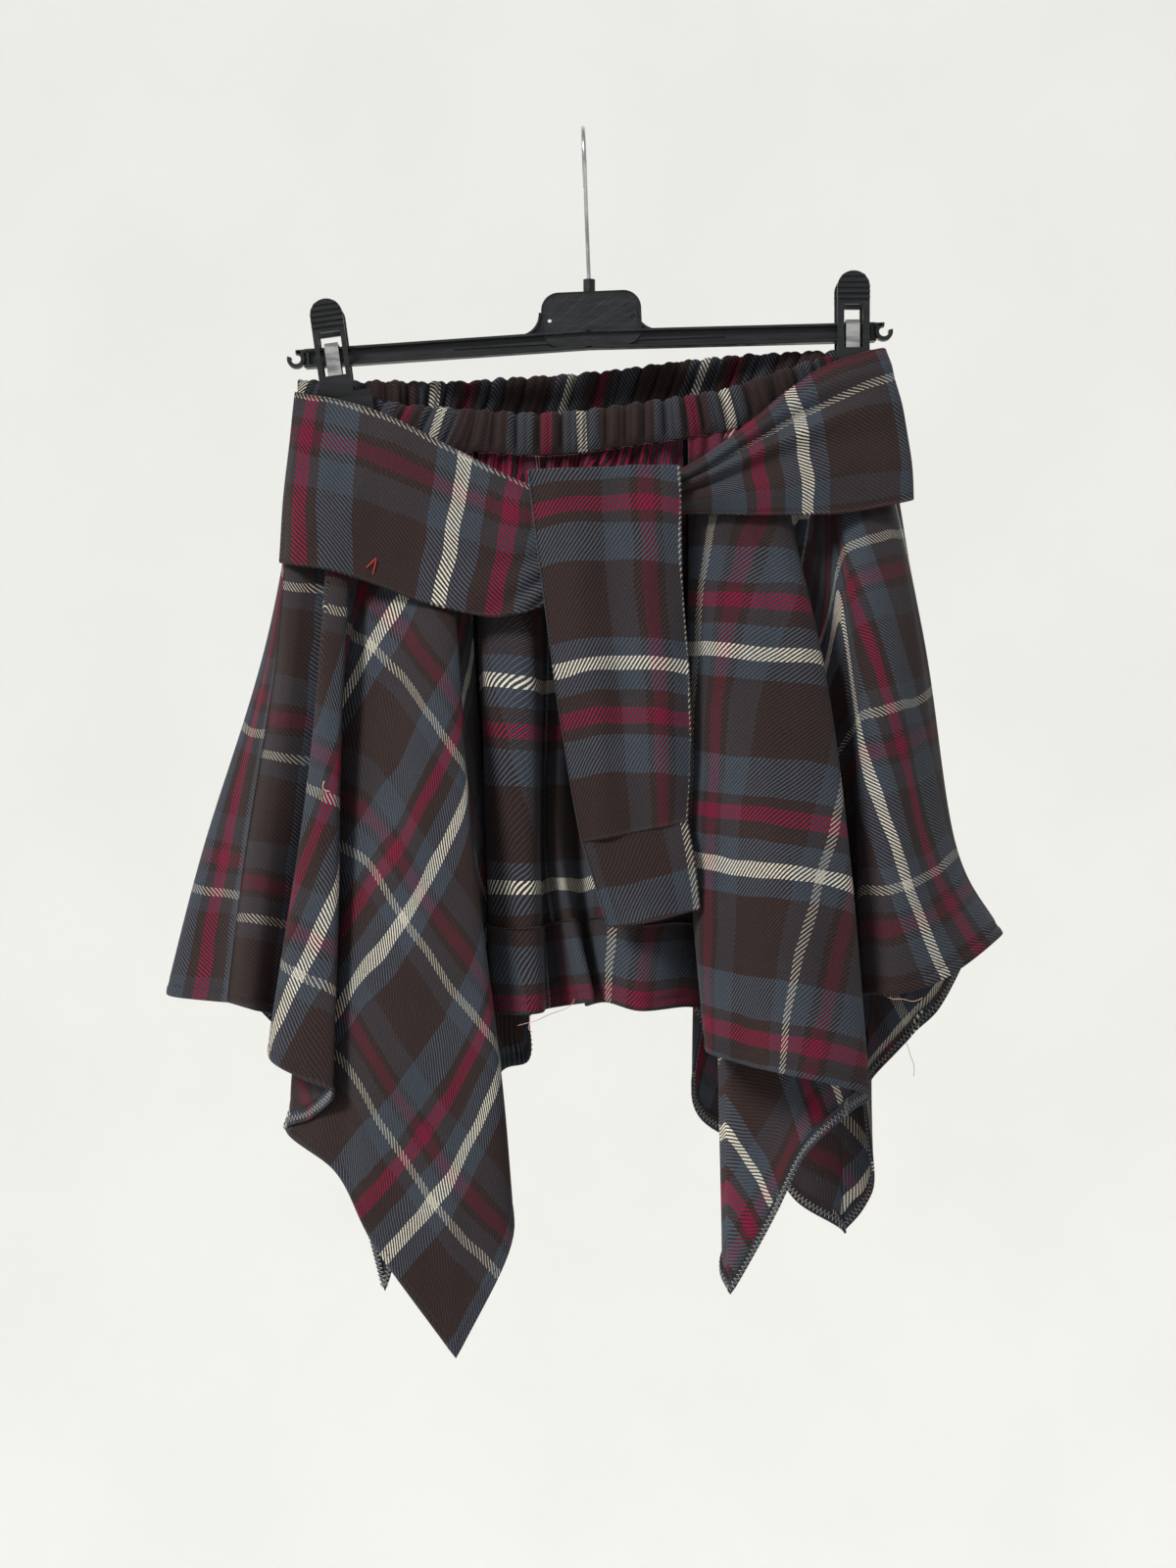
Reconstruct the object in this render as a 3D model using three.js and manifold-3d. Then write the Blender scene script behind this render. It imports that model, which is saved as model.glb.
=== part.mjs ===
// A handkerchief-hem tie-front skort, hung by its waistband from a clip hanger.
// Millimetres, +Z up, +X to the right of someone facing its front, front faces -Y.
// The origin is the point inside the top of the wire hook that rests on a rod.
import * as THREE from 'three';
import { mergeVertices } from 'three/addons/utils/BufferGeometryUtils.js';
import Module from 'manifold-3d';

const wasm = await Module();
wasm.setup();

// ---- driving dimensions ----
const CLOTH = 1.6; // woven skirt cloth, with its seam bulk
const KNIT = 1.2; // shorts under the skirt
const SASH_CLOTH = 1.6;
const BAND_THICKNESS = 3; // gathered cloth over elastic
const BAND_HEIGHT = 25.5;
const PINCHED = 1.8; // middle of each band where a clip presses the two together
const SEAM_GAP = 0.8;
const HIP_Z = -313;
const THIGH_Z = -440;

const WIRE_D = 2.7;
const HOOK_R = 20;
const STEM_BASE = { x: 3.6, z: -91.7 };
const ARM_HEIGHT = 11.5;
const ARM_DEPTH = 9;
const ARM_WEB = 1.6;
const ARM_FLANGE = 1.8;
const PLATE = { x: 5.2, z: -116.5, width: 62, height: 34, corner: 11, depth: 4.4 };
const ARM_ROOT = { x: 3.6, z: -129.3 };
const ARM_END_LEFT = { x: -176, z: -141.6 };
const ARM_END_RIGHT = { x: 184.5, z: -124.6 };
const ARM_SLOPE = 4; // degrees, the steeper arm
const NOTCH = { outer: 5.6, inner: 3, depth: 6 };

// ---- waistband: x, depth y and top edge z of its middle surface ----
const BAND_FRONT = [
  { x: -177, y: -PINCHED, z: -155 },
  { x: -150, y: -PINCHED, z: -158 },
  { x: -127, y: -PINCHED, z: -166.5 },
  { x: -104, y: -13, z: -172 },
  { x: -78, y: -23, z: -175.5 },
  { x: -22, y: -31, z: -179.5 },
  { x: 40, y: -31, z: -172.5 },
  { x: 86, y: -25, z: -164 },
  { x: 126, y: -11, z: -149 },
  { x: 151, y: -PINCHED, z: -140 },
  { x: 187, y: -PINCHED, z: -136 },
];
const BAND_BACK = [
  { x: -177, y: PINCHED, z: -154 },
  { x: -150, y: PINCHED, z: -155 },
  { x: -127, y: PINCHED, z: -154.5 },
  { x: -102, y: 14, z: -153 },
  { x: -76, y: 25, z: -151 },
  { x: -50, y: 31, z: -148 },
  { x: 10, y: 33, z: -143.5 },
  { x: 73, y: 28, z: -136.5 },
  { x: 122, y: 12, z: -135.5 },
  { x: 150, y: PINCHED, z: -136 },
  { x: 187, y: PINCHED, z: -135.5 },
];

// ---- skirt pieces ----
// A row is one line of the cloth, from the waist seam down to the hem. The columns are its
// place along the waist seam, (x, y) at the hip and at the thigh, and (x, y, z) at the hem.
const SKIRT_LEFT = [
  { line: 'side seam', seam: -176, hip: [-186, -18], thigh: [-204, -28], hem: [-215, -32, -536] },
  { line: 'panel', seam: -166, hip: [-174, -30], thigh: [-188, -42], hem: [-198, -46, -539] },
  { line: 'valley', seam: -158, hip: [-154, -24], thigh: [-165, -27], hem: [-176, -24, -548] },
  { line: 'flute left', seam: -152, hip: [-156, -40], thigh: [-170, -52], hem: [-187, -60, -565] },
  { line: 'flute middle', seam: -146, hip: [-149, -47], thigh: [-158, -65], hem: [-167, -77, -576] },
  { line: 'flute right', seam: -139, hip: [-142, -44], thigh: [-146, -64], hem: [-146, -80, -585] },
  { line: 'return', seam: -134, hip: [-144, -32], thigh: [-152, -48], hem: [-161, -60, -602] },
  { line: 'turn', seam: -129, hip: [-141, -22], thigh: [-159, -34], hem: [-178, -46, -613] },
  { line: 'bias left', seam: -122, hip: [-125, -33], thigh: [-130, -58], hem: [-145, -70, -634] },
  { line: 'bias middle', seam: -112, hip: [-108, -44], thigh: [-108, -74], hem: [-121, -84, -675] },
  { line: 'corner', seam: -101, hip: [-91, -51], thigh: [-85, -85], hem: [-74, -89, -738] },
  { line: 'ridge', seam: -91, hip: [-76, -50], thigh: [-64, -86], hem: [-41, -84, -668] },
  { line: 'behind ridge', seam: -83, hip: [-80, -37], thigh: [-69, -62], hem: [-55, -54, -625] },
  { line: 'valley end', seam: -76, hip: [-74, -29], thigh: [-66, -44], hem: [-51, -36, -580] },
  { line: 'inner edge', seam: -71, hip: [-70, -25], thigh: [-60, -35], hem: [-33, -36, -570] },
  { line: 'front seam', seam: -67, hip: [-67, -22], thigh: [-57, -27], hem: [-33, -28, -545] },
];
const SKIRT_FRONT = [
  { line: 'left seam', seam: -63, hip: [-64, -24], thigh: [-54, -30], hem: [-31, -33, -540] },
  { line: 'pleat 1 left', seam: -57, hip: [-59, -36], thigh: [-58, -46], hem: [-54, -54, -539] },
  { line: 'pleat 1 middle', seam: -46, hip: [-44, -46], thigh: [-44, -60], hem: [-39, -68, -540] },
  { line: 'pleat 1 right', seam: -34, hip: [-28, -44], thigh: [-28, -58], hem: [-25, -66, -539] },
  { line: 'valley 1', seam: -25, hip: [-23, -19], thigh: [-25, -22], hem: [-21, -26, -540] },
  { line: 'pleat 2 ridge', seam: -14, hip: [-11, -27], thigh: [-15, -43], hem: [5, -62, -533] },
  { line: 'valley 2', seam: -4, hip: [-4, -20], thigh: [-3, -26], hem: [2, -32, -538] },
  { line: 'pleat 3 left', seam: 8, hip: [7, -33], thigh: [8, -43], hem: [14, -51, -534] },
  { line: 'pleat 3 middle', seam: 30, hip: [33, -42], thigh: [33, -54], hem: [34, -64, -538] },
  { line: 'pleat 3 right', seam: 50, hip: [55, -35], thigh: [56, -43], hem: [61, -48, -537] },
  { line: 'right seam', seam: 60, hip: [64, -24], thigh: [66, -28], hem: [74, -32, -540] },
];
const SKIRT_RIGHT = [
  { line: 'front seam', seam: 64, hip: [68, -25], thigh: [71, -32], hem: [82, -42, -562] },
  { line: 'flap left', seam: 66, hip: [62, -46], thigh: [65, -64], hem: [73, -80, -561] },
  { line: 'flap swell', seam: 75, hip: [78, -57], thigh: [87, -82], hem: [97, -98, -567] },
  { line: 'flap middle', seam: 86, hip: [99, -61], thigh: [111, -92], hem: [120, -108, -571] },
  { line: 'flap right', seam: 97, hip: [120, -57], thigh: [134, -88], hem: [144, -102, -577] },
  { line: 'ridge', seam: 106, hip: [139, -49], thigh: [155, -76], hem: [168, -86, -586] },
  { line: 'return', seam: 113, hip: [139, -36], thigh: [148, -56], hem: [158, -66, -598] },
  { line: 'return middle', seam: 119, hip: [131, -27], thigh: [129, -47], hem: [133, -59, -624] },
  { line: 'return left', seam: 125, hip: [127, -21], thigh: [108, -42], hem: [114, -56, -662] },
  { line: 'corner', seam: 130, hip: [126, -17], thigh: [90, -41], hem: [88, -58, -707] },
  { line: 'left fold', seam: 135, hip: [130, -15], thigh: [87, -29], hem: [85, -47, -692] },
  { line: 'hidden', seam: 140, hip: [140, -15], thigh: [108, -22], hem: [106, -38, -650] },
  { line: 'hidden end', seam: 145, hip: [153, -18], thigh: [143, -22], hem: [140, -32, -590] },
  { line: 'valley', seam: 149, hip: [163, -24], thigh: [162, -30], hem: [163, -38, -545] },
  { line: 'side left', seam: 153, hip: [166, -37], thigh: [165, -48], hem: [167, -58, -529] },
  { line: 'side middle', seam: 161, hip: [177, -43], thigh: [182, -57], hem: [187, -67, -528] },
  { line: 'side fold', seam: 171, hip: [193, -33], thigh: [204, -46], hem: [218, -52, -519] },
  { line: 'silhouette', seam: 180, hip: [210, -6], thigh: [229, -8], hem: [257, -14, -496] },
  { line: 'back seam', seam: 185, hip: [206, 18], thigh: [219, 28], hem: [245, 36, -508] },
];
const SKIRT_BACK = [
  { line: 'left seam', seam: -176, hip: [-186.3, -17.2], thigh: [-204.3, -27.2], hem: [-215.3, -31.2, -536] },
  { line: 'silhouette', seam: -170, hip: [-195, 6], thigh: [-233, 6], hem: [-256, 6, -535] },
  { line: 'left swell', seam: -158, hip: [-182, 24], thigh: [-215, 40], hem: [-234, 50, -532] },
  { line: 'left valley', seam: -145, hip: [-166, 18], thigh: [-186, 24], hem: [-192, 28, -556] },
  { line: 'left fall', seam: -136, hip: [-158, 27], thigh: [-164, 44], hem: [-154, 44, -632] },
  { line: 'left corner', seam: -126, hip: [-148, 33], thigh: [-144, 56], hem: [-127, 52, -728] },
  { line: 'left inner', seam: -110, hip: [-128, 26], thigh: [-118, 36], hem: [-103, 36, -646] },
  { line: 'swell 1', seam: -88, hip: [-102, 42], thigh: [-92, 60], hem: [-80, 70, -592] },
  { line: 'valley 1', seam: -64, hip: [-70, 29], thigh: [-59, 38], hem: [-44, 38, -556] },
  { line: 'swell 2', seam: -36, hip: [-38, 44], thigh: [-29, 62], hem: [-13, 72, -540] },
  { line: 'valley 2', seam: -4, hip: [2, 31], thigh: [9, 42], hem: [19, 44, -532] },
  { line: 'swell 3', seam: 32, hip: [38, 44], thigh: [46, 63], hem: [52, 72, -536] },
  { line: 'valley 3', seam: 54, hip: [61, 31], thigh: [66, 38], hem: [73, 34, -546] },
  { line: 'cascade', seam: 68, hip: [74, 34], thigh: [76, 46], hem: [72, 48, -612] },
  { line: 'swell 4', seam: 88, hip: [101, 42], thigh: [110, 60], hem: [108, 64, -640] },
  { line: 'valley 4', seam: 110, hip: [126, 27], thigh: [135, 34], hem: [131, 34, -664] },
  { line: 'right corner', seam: 130, hip: [148, 35], thigh: [158, 52], hem: [166, 48, -690] },
  { line: 'right fall', seam: 144, hip: [163, 38], thigh: [172, 54], hem: [180, 44, -668] },
  { line: 'right inner', seam: 155, hip: [176, 36], thigh: [184, 46], hem: [178, 34, -618] },
  { line: 'valley 5', seam: 166, hip: [189, 28], thigh: [197, 33], hem: [186, 16, -586] },
  { line: 'turned up', seam: 174, hip: [196, 24], thigh: [206, 29], hem: [206, 12, -560] },
  { line: 'swell 5', seam: 180, hip: [202, 23], thigh: [214, 31], hem: [224, 12, -541] },
  { line: 'right seam', seam: 185.6, hip: [205.4, 19.1], thigh: [218.4, 29.2], hem: [244.4, 37.2, -508] },
];

// ---- sash, tied in front: a row is one section across it, from its top to its bottom edge ----
const SASH_LEFT = [
  { at: 'side seam', top: [-177, -4.6, -163], middle: [-182, -9, -212], bottom: [-186, -17, -268] },
  { at: 'wrap', top: [-168, -12, -166], middle: [-174, -22, -216], bottom: [-174, -33, -271] },
  { at: 'over the clip', top: [-149, -18, -170], middle: [-153, -30, -221], bottom: [-152, -41, -275] },
  { at: 'quarter', top: [-119, -28, -181], middle: [-122, -37, -232], bottom: [-124, -44, -284] },
  { at: 'half', top: [-79, -39, -202], middle: [-84, -47, -248], bottom: [-92, -52, -296] },
  { at: 'beside the tail', top: [-36, -47, -224], middle: [-42, -54, -262], bottom: [-50, -58, -304] },
  { at: 'behind the tail', top: [-10, -54.6, -231], middle: [-14, -56.2, -262], bottom: [-19, -57, -296] },
];
// a row is one line along the sash, from the side seam to the knot
const SASH_RIGHT = [
  { line: 'top edge', seam: [186, -4.4, -139], side: [183, -11, -137], clip: [151, -18, -148], third: [124, -24, -166], near: [90, -36, -194], knot: [57, -48, -217], end: [22, -54, -223] },
  { line: 'upper fold', seam: [186.5, -4.4, -149], side: [187, -14, -147], clip: [154, -24, -159], third: [126, -31, -175], near: [92, -42, -199], knot: [57, -53, -221], end: [22, -56, -226] },
  { line: 'crease 1', seam: [187.5, -4.6, -158], side: [189, -14, -156], clip: [156, -22, -170], third: [129, -28, -184], near: [94, -38, -204], knot: [57, -49, -224], end: [22, -54.6, -229] },
  { line: 'middle fold', seam: [191.5, -5.4, -173], side: [193, -16, -172], clip: [158, -28, -180], third: [130, -35, -193], near: [95, -45, -210], knot: [57, -54, -227], end: [22, -56, -232] },
  { line: 'crease 2', seam: [193, -6.4, -190], side: [196, -16, -190], clip: [160, -27, -195], third: [131, -33, -204], near: [95, -42, -217], knot: [57, -50, -230], end: [22, -54.6, -235] },
  { line: 'main face', seam: [195.5, -8, -209], side: [198, -19, -210], clip: [162, -32, -215], third: [133, -40, -222], near: [97, -48, -228], knot: [57, -54, -236], end: [22, -56, -240] },
  { line: 'bottom edge', seam: [198, -10, -228], side: [198, -21, -231], clip: [161, -33, -239], third: [134, -39, -241], near: [98, -46, -242], knot: [57, -52, -242], end: [22, -55, -246] },
];

// a row is one line down the tail; it starts tucked behind, turns over the top and hangs
const TAIL = [
  { line: 'left edge', tuck: [-26, -57.8, -252], top: [-32, -60, -219], chest: [-23, -66, -290], half: [-15, -70, -350], low: [-7, -74, -400], seam: [0, -76, -438] },
  { line: 'left swell', tuck: [-6, -57.8, -254], top: [-10, -62, -218], chest: [-4, -73, -288], half: [4, -79, -347], low: [10, -82, -396], seam: [15, -83, -435] },
  { line: 'middle', tuck: [16, -57.8, -254], top: [13, -61, -217], chest: [17, -69, -286], half: [23, -74, -343], low: [27, -79, -391], seam: [30, -81, -432] },
  { line: 'right swell', tuck: [36, -57.8, -252], top: [35, -62, -216], chest: [38, -72, -284], half: [43, -77, -339], low: [45, -80, -386], seam: [46, -80, -429] },
  { line: 'right edge', tuck: [52, -57.6, -250], top: [57, -60, -216], chest: [58, -65, -282], half: [62, -69, -335], low: [63, -72, -381], seam: [61, -75, -426] },
];
const CUFF = [
  { line: 'left edge', seam: [0, -76, -438.5], low: [7, -78, -461], hem: [15, -77, -488] },
  { line: 'middle', seam: [30, -81, -432.5], low: [36, -84, -456], hem: [41, -84, -484] },
  { line: 'right edge', seam: [61, -75, -426.5], low: [65, -80, -450], hem: [68, -79, -477] },
];

// ---- shorts: rings from the waist down; half width and half depth of each ----
const SHORTS_SEAT = { x: 4, waist: 128, rings: [
  { z: -262, width: 138, depth: 17 },
  { z: -335, width: 146, depth: 12 },
] };
const SHORTS_LEG = { width: 70, hemWidth: 72, depth: 11, top: -335.8, hem: -432, left: -70, right: 78 };

// ---- clips ----
const CLIP = { width: 20, height: 73, jaw: 15, leaf: 2.2, ribs: 5 };
const CLIP_LEFT = { x: -149.5, z: -178, lean: 7.8, window: [14, 25.5, 52.5], jawFrom: -11, jawTo: 21 };
const CLIP_RIGHT = { x: 166.5, z: -161.3, lean: 0, window: [11.5, 26, 52.5], jawFrom: -11, jawTo: 11 };
const SPRING = { width: 8.5, thickness: 0.8, half: 6.4, bottom: 20 };

// ---- curves ----
function through(points, at) {
  // a smooth curve through the points; at runs from 0 at the first to 1 at the last
  const last = points.length - 1;
  const place = Math.min(Math.max(at, 0), 1) * last;
  const i = Math.min(Math.floor(place), last - 1);
  const t = place - i;
  const p1 = points[i];
  const p2 = points[i + 1];
  const p0 = i > 0 ? points[i - 1] : p1.map((v, k) => 2 * v - p2[k]);
  const p3 = i + 2 <= last ? points[i + 2] : p2.map((v, k) => 2 * v - p1[k]);
  return p1.map((v, k) => {
    const a = 2 * v;
    const b = p2[k] - p0[k];
    const c = 2 * p0[k] - 5 * v + 4 * p2[k] - p3[k];
    const d = 3 * v - p0[k] - 3 * p2[k] + p3[k];
    return 0.5 * (a + b * t + c * t * t + d * t * t * t);
  });
}

function bandAt(table, x) {
  // depth and top edge of a band at one x, eased between the rows of its table
  const last = table.length - 2;
  let i = 0;
  while (i < last && x > table[i + 1].x) i += 1;
  const a = table[i];
  const b = table[i + 1];
  const t = THREE.MathUtils.clamp((x - a.x) / (b.x - a.x), 0, 1);
  const points = table.map((row) => [row.y, row.z]);
  const [y, z] = through(points, (i + t) / (table.length - 1));
  return { y: Math.sign(a.y) * Math.max(Math.abs(y), PINCHED), z };
}

// ---- cloth ----
function gridFrom(lines, across, down) {
  // lines of points become a smooth grid, with so many steps between neighbours each way
  const rows = (lines.length - 1) * across;
  const steps = (lines[0].length - 1) * down;
  const grid = [];
  for (let i = 0; i <= rows; i += 1) {
    const row = [];
    for (let j = 0; j <= steps; j += 1) {
      const level = lines.map((line) => through(line, j / steps));
      row.push(new THREE.Vector3(...through(level, i / rows)));
    }
    grid.push(row);
  }
  return grid;
}

function normalsOf(grid, closed) {
  const n = grid.length;
  return grid.map((row, i) => row.map((point, j) => {
    const before = closed ? grid[(i - 1 + n) % n][j] : grid[Math.max(i - 1, 0)][j];
    const after = closed ? grid[(i + 1) % n][j] : grid[Math.min(i + 1, n - 1)][j];
    const up = row[Math.max(j - 1, 0)];
    const below = row[Math.min(j + 1, row.length - 1)];
    const along = after.clone().sub(before);
    const fall = below.clone().sub(up);
    return along.cross(fall).normalize();
  }));
}

function wall(grid, thickness, closed = false) {
  // a closed solid of even thickness about the grid; closed joins its last row to its first
  const normals = normalsOf(grid, closed);
  const rows = grid.length;
  const steps = grid[0].length;
  const positions = [];
  for (const side of [0.5, -0.5]) {
    grid.forEach((row, i) => row.forEach((point, j) => {
      const moved = point.clone().addScaledVector(normals[i][j], side * thickness);
      positions.push(moved.x, moved.y, moved.z);
    }));
  }
  const index = (side, i, j) => side * rows * steps + (i % rows) * steps + j;
  const faces = [];
  const quad = (a, b, c, d) => faces.push(a, b, c, a, c, d);
  const spans = closed ? rows : rows - 1;
  for (let i = 0; i < spans; i += 1) {
    for (let j = 0; j < steps - 1; j += 1) {
      quad(index(0, i, j), index(0, i + 1, j), index(0, i + 1, j + 1), index(0, i, j + 1));
      quad(index(1, i, j), index(1, i, j + 1), index(1, i + 1, j + 1), index(1, i + 1, j));
    }
    quad(index(0, i, 0), index(1, i, 0), index(1, i + 1, 0), index(0, i + 1, 0));
    const e = steps - 1;
    quad(index(0, i, e), index(0, i + 1, e), index(1, i + 1, e), index(1, i, e));
  }
  if (!closed) {
    for (let j = 0; j < steps - 1; j += 1) {
      quad(index(0, 0, j), index(0, 0, j + 1), index(1, 0, j + 1), index(1, 0, j));
      const e = rows - 1;
      quad(index(0, e, j), index(1, e, j), index(1, e, j + 1), index(0, e, j + 1));
    }
  }
  const geometry = new THREE.BufferGeometry();
  geometry.setAttribute('position', new THREE.Float32BufferAttribute(positions, 3));
  geometry.setIndex(faces);
  return facingOut(geometry);
}

function facingOut(geometry) {
  // turns the faces round if the signed volume is negative
  const p = geometry.attributes.position;
  const index = geometry.index.array;
  const corner = (k) => new THREE.Vector3().fromBufferAttribute(p, index[k]);
  let volume = 0;
  for (let f = 0; f < index.length; f += 3) {
    volume += corner(f).dot(corner(f + 1).cross(corner(f + 2)));
  }
  if (volume < 0) {
    for (let f = 0; f < index.length; f += 3) {
      [index[f + 1], index[f + 2]] = [index[f + 2], index[f + 1]];
    }
  }
  geometry.computeVertexNormals();
  return geometry;
}

function skirtPiece(table, band, side) {
  // side is -1 for a piece sewn to the front band and 1 for one sewn to the back band
  const lines = table.map((row) => {
    const edge = bandAt(band, row.seam);
    const seam = [row.seam, edge.y + side * 0.8, edge.z - BAND_HEIGHT - SEAM_GAP];
    return [seam, [...row.hip, HIP_Z], [...row.thigh, THIGH_Z], row.hem];
  });
  return wall(gridFrom(lines, 2, 3), CLOTH);
}

function bandPiece(table, steps) {
  const lines = [];
  for (let i = 0; i <= steps; i += 1) {
    const x = THREE.MathUtils.lerp(table[0].x, table[table.length - 1].x, i / steps);
    const edge = bandAt(table, x);
    lines.push([[x, edge.y, edge.z], [x, edge.y, edge.z - BAND_HEIGHT]]);
  }
  return wall(gridFrom(lines, 1, 2), BAND_THICKNESS);
}

function sashLeft() {
  const lines = SASH_LEFT.map((row) => [row.top, row.middle, row.bottom]);
  return wall(gridFrom(lines, 2, 3), SASH_CLOTH);
}

function sashRight() {
  const lines = SASH_RIGHT.map((row) => [row.seam, row.side, row.clip, row.third, row.near, row.knot, row.end]);
  return wall(gridFrom(lines, 2, 2), SASH_CLOTH);
}

function tailPiece() {
  const lines = TAIL.map((row) => [row.tuck, row.top, row.chest, row.half, row.low, row.seam]);
  return wall(gridFrom(lines, 2, 3), SASH_CLOTH);
}

function cuffPiece() {
  const lines = CUFF.map((row) => [row.seam, row.low, row.hem]);
  return wall(gridFrom(lines, 3, 2), SASH_CLOTH);
}

// ---- shorts ----
const RING_STEPS = 28;

function flatRing(x, width, depth, z) {
  // a flattened ring: long straight front and back, tightly rounded sides
  const ring = [];
  for (let i = 0; i < RING_STEPS; i += 1) {
    const turn = (2 * Math.PI * i) / RING_STEPS;
    const rise = Math.sin(turn);
    const y = depth * Math.sign(rise) * Math.abs(rise) ** 0.6;
    ring.push(new THREE.Vector3(x + width * Math.cos(turn), y, z));
  }
  return ring;
}

function waistRing() {
  // the top of the shorts lies just inside the two bands and follows their sag
  const { x, waist } = SHORTS_SEAT;
  return flatRing(x, waist, 1, 0).map((point) => {
    const front = bandAt(BAND_FRONT, point.x);
    const back = bandAt(BAND_BACK, point.x);
    const share = (point.y + 1) / 2;
    const edge = point.y < 0 ? front : back;
    const z = THREE.MathUtils.lerp(front.z, back.z, share) - BAND_HEIGHT - SEAM_GAP - 0.4;
    return new THREE.Vector3(point.x, Math.abs(point.y) * (edge.y - Math.sign(edge.y) * 1.05), z);
  });
}

function ringWall(rings, down) {
  const lines = [];
  for (let i = 0; i < RING_STEPS; i += 1) {
    lines.push(rings.map((ring) => ring[i].toArray()));
  }
  const steps = (rings.length - 1) * down;
  const grid = lines.map((line) => {
    const row = [];
    for (let j = 0; j <= steps; j += 1) {
      row.push(new THREE.Vector3(...through(line, j / steps)));
    }
    return row;
  });
  return wall(grid, KNIT, true);
}

function shortsSeat() {
  const lower = SHORTS_SEAT.rings.map((r) => flatRing(SHORTS_SEAT.x, r.width, r.depth, r.z));
  return ringWall([waistRing(), ...lower], 2);
}

function shortsLeg(x) {
  const top = flatRing(x, SHORTS_LEG.width, SHORTS_LEG.depth, SHORTS_LEG.top);
  const hem = flatRing(x, SHORTS_LEG.hemWidth, SHORTS_LEG.depth, SHORTS_LEG.hem);
  return ringWall([top, hem], 3);
}

// ---- hanger ----
function toSolid(geometry) {
  const bare = geometry.clone();
  bare.deleteAttribute('normal');
  bare.deleteAttribute('uv');
  const merged = mergeVertices(bare, 1e-4);
  return new wasm.Manifold(new wasm.Mesh({
    numProp: 3,
    vertProperties: new Float32Array(merged.attributes.position.array),
    triVerts: new Uint32Array(merged.index.array),
  }));
}

function toGeometry(solid) {
  const mesh = solid.getMesh();
  const geometry = new THREE.BufferGeometry();
  geometry.setAttribute('position', new THREE.BufferAttribute(new Float32Array(mesh.vertProperties), 3));
  geometry.setIndex(new THREE.BufferAttribute(new Uint32Array(mesh.triVerts), 1));
  geometry.computeVertexNormals();
  return geometry;
}

function outline(points) {
  return new THREE.Shape(points.map(([a, b]) => new THREE.Vector2(a, b)));
}

function box(from, to) {
  const size = from.map((v, k) => to[k] - v);
  const geometry = new THREE.BoxGeometry(...size);
  geometry.translate(...from.map((v, k) => (v + to[k]) / 2));
  return geometry;
}

function extrudeXZ(shape, depth, curveSegments = 8) {
  // an outline drawn in X and Z, with its thickness centred on Y = 0
  const geometry = new THREE.ExtrudeGeometry(shape, { depth, bevelEnabled: false, curveSegments });
  geometry.rotateX(Math.PI / 2);
  geometry.translate(0, depth / 2, 0);
  return geometry;
}

function extrudeAlongX(shape, from, to) {
  // an outline drawn as (Y, Z), run from one X to the other
  const geometry = new THREE.ExtrudeGeometry(shape, { depth: to - from, bevelEnabled: false });
  geometry.applyMatrix4(new THREE.Matrix4().makeBasis(
    new THREE.Vector3(0, 1, 0), new THREE.Vector3(0, 0, 1), new THREE.Vector3(1, 0, 0)));
  geometry.translate(from, 0, 0);
  return geometry;
}

function armOutline() {
  const h = ARM_HEIGHT / 2;
  const f = h - ARM_FLANGE;
  const d = ARM_DEPTH / 2;
  const w = ARM_WEB / 2;
  return outline([[-d, h], [-d, f], [-w, f], [-w, -f], [-d, -f], [-d, -h],
    [d, -h], [d, -f], [w, -f], [w, f], [d, f], [d, h]]);
}

function arm(end) {
  // an I-section bar from the middle of the plate to the end notch
  const run = new THREE.Vector2(end.x - ARM_ROOT.x, end.z - ARM_ROOT.z);
  const geometry = extrudeAlongX(armOutline(), 0, run.length());
  geometry.rotateY(-run.angle());
  geometry.translate(ARM_ROOT.x, 0, ARM_ROOT.z);
  return geometry;
}

function roundedRectangle({ width, height, corner }) {
  const w = width / 2;
  const h = height / 2;
  const shape = new THREE.Shape();
  shape.moveTo(-w + corner, -h);
  shape.lineTo(w - corner, -h);
  shape.absarc(w - corner, -h + corner, corner, -Math.PI / 2, 0);
  shape.absarc(w - corner, h - corner, corner, 0, Math.PI / 2);
  shape.absarc(-w + corner, h - corner, corner, Math.PI / 2, Math.PI);
  shape.absarc(-w + corner, -h + corner, corner, Math.PI, 1.5 * Math.PI);
  return shape;
}

function plate() {
  const shape = roundedRectangle(PLATE);
  for (const side of [-1, 1]) {
    const hole = new THREE.Path();
    hole.absarc(side * (PLATE.width / 2 - 5), 0, 1.25, 0, 2 * Math.PI, true);
    shape.holes.push(hole);
  }
  const geometry = extrudeXZ(shape, PLATE.depth);
  geometry.rotateY(-THREE.MathUtils.degToRad(2.4));
  geometry.translate(PLATE.x, 0, PLATE.z);
  return geometry;
}

function endNotch(end, side) {
  // a C-shaped catch, open upward and outward
  const open = THREE.MathUtils.degToRad(side < 0 ? 128 : 52);
  const half = THREE.MathUtils.degToRad(42);
  const shape = new THREE.Shape();
  shape.absarc(0, 0, NOTCH.outer, open + half, open - half + 2 * Math.PI, false);
  shape.absarc(0, 0, NOTCH.inner, open - half + 2 * Math.PI, open + half, true);
  const geometry = extrudeXZ(shape, NOTCH.depth, 12);
  geometry.translate(end.x + side * (NOTCH.outer - 1.2), 0, end.z);
  return geometry;
}

function hangerBody() {
  const pieces = [plate(), arm(ARM_END_LEFT), arm(ARM_END_RIGHT),
    endNotch(ARM_END_LEFT, -1), endNotch(ARM_END_RIGHT, 1)];
  const whole = pieces.map(toSolid).reduce((sum, piece) => sum.add(piece));
  return toGeometry(whole);
}

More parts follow.
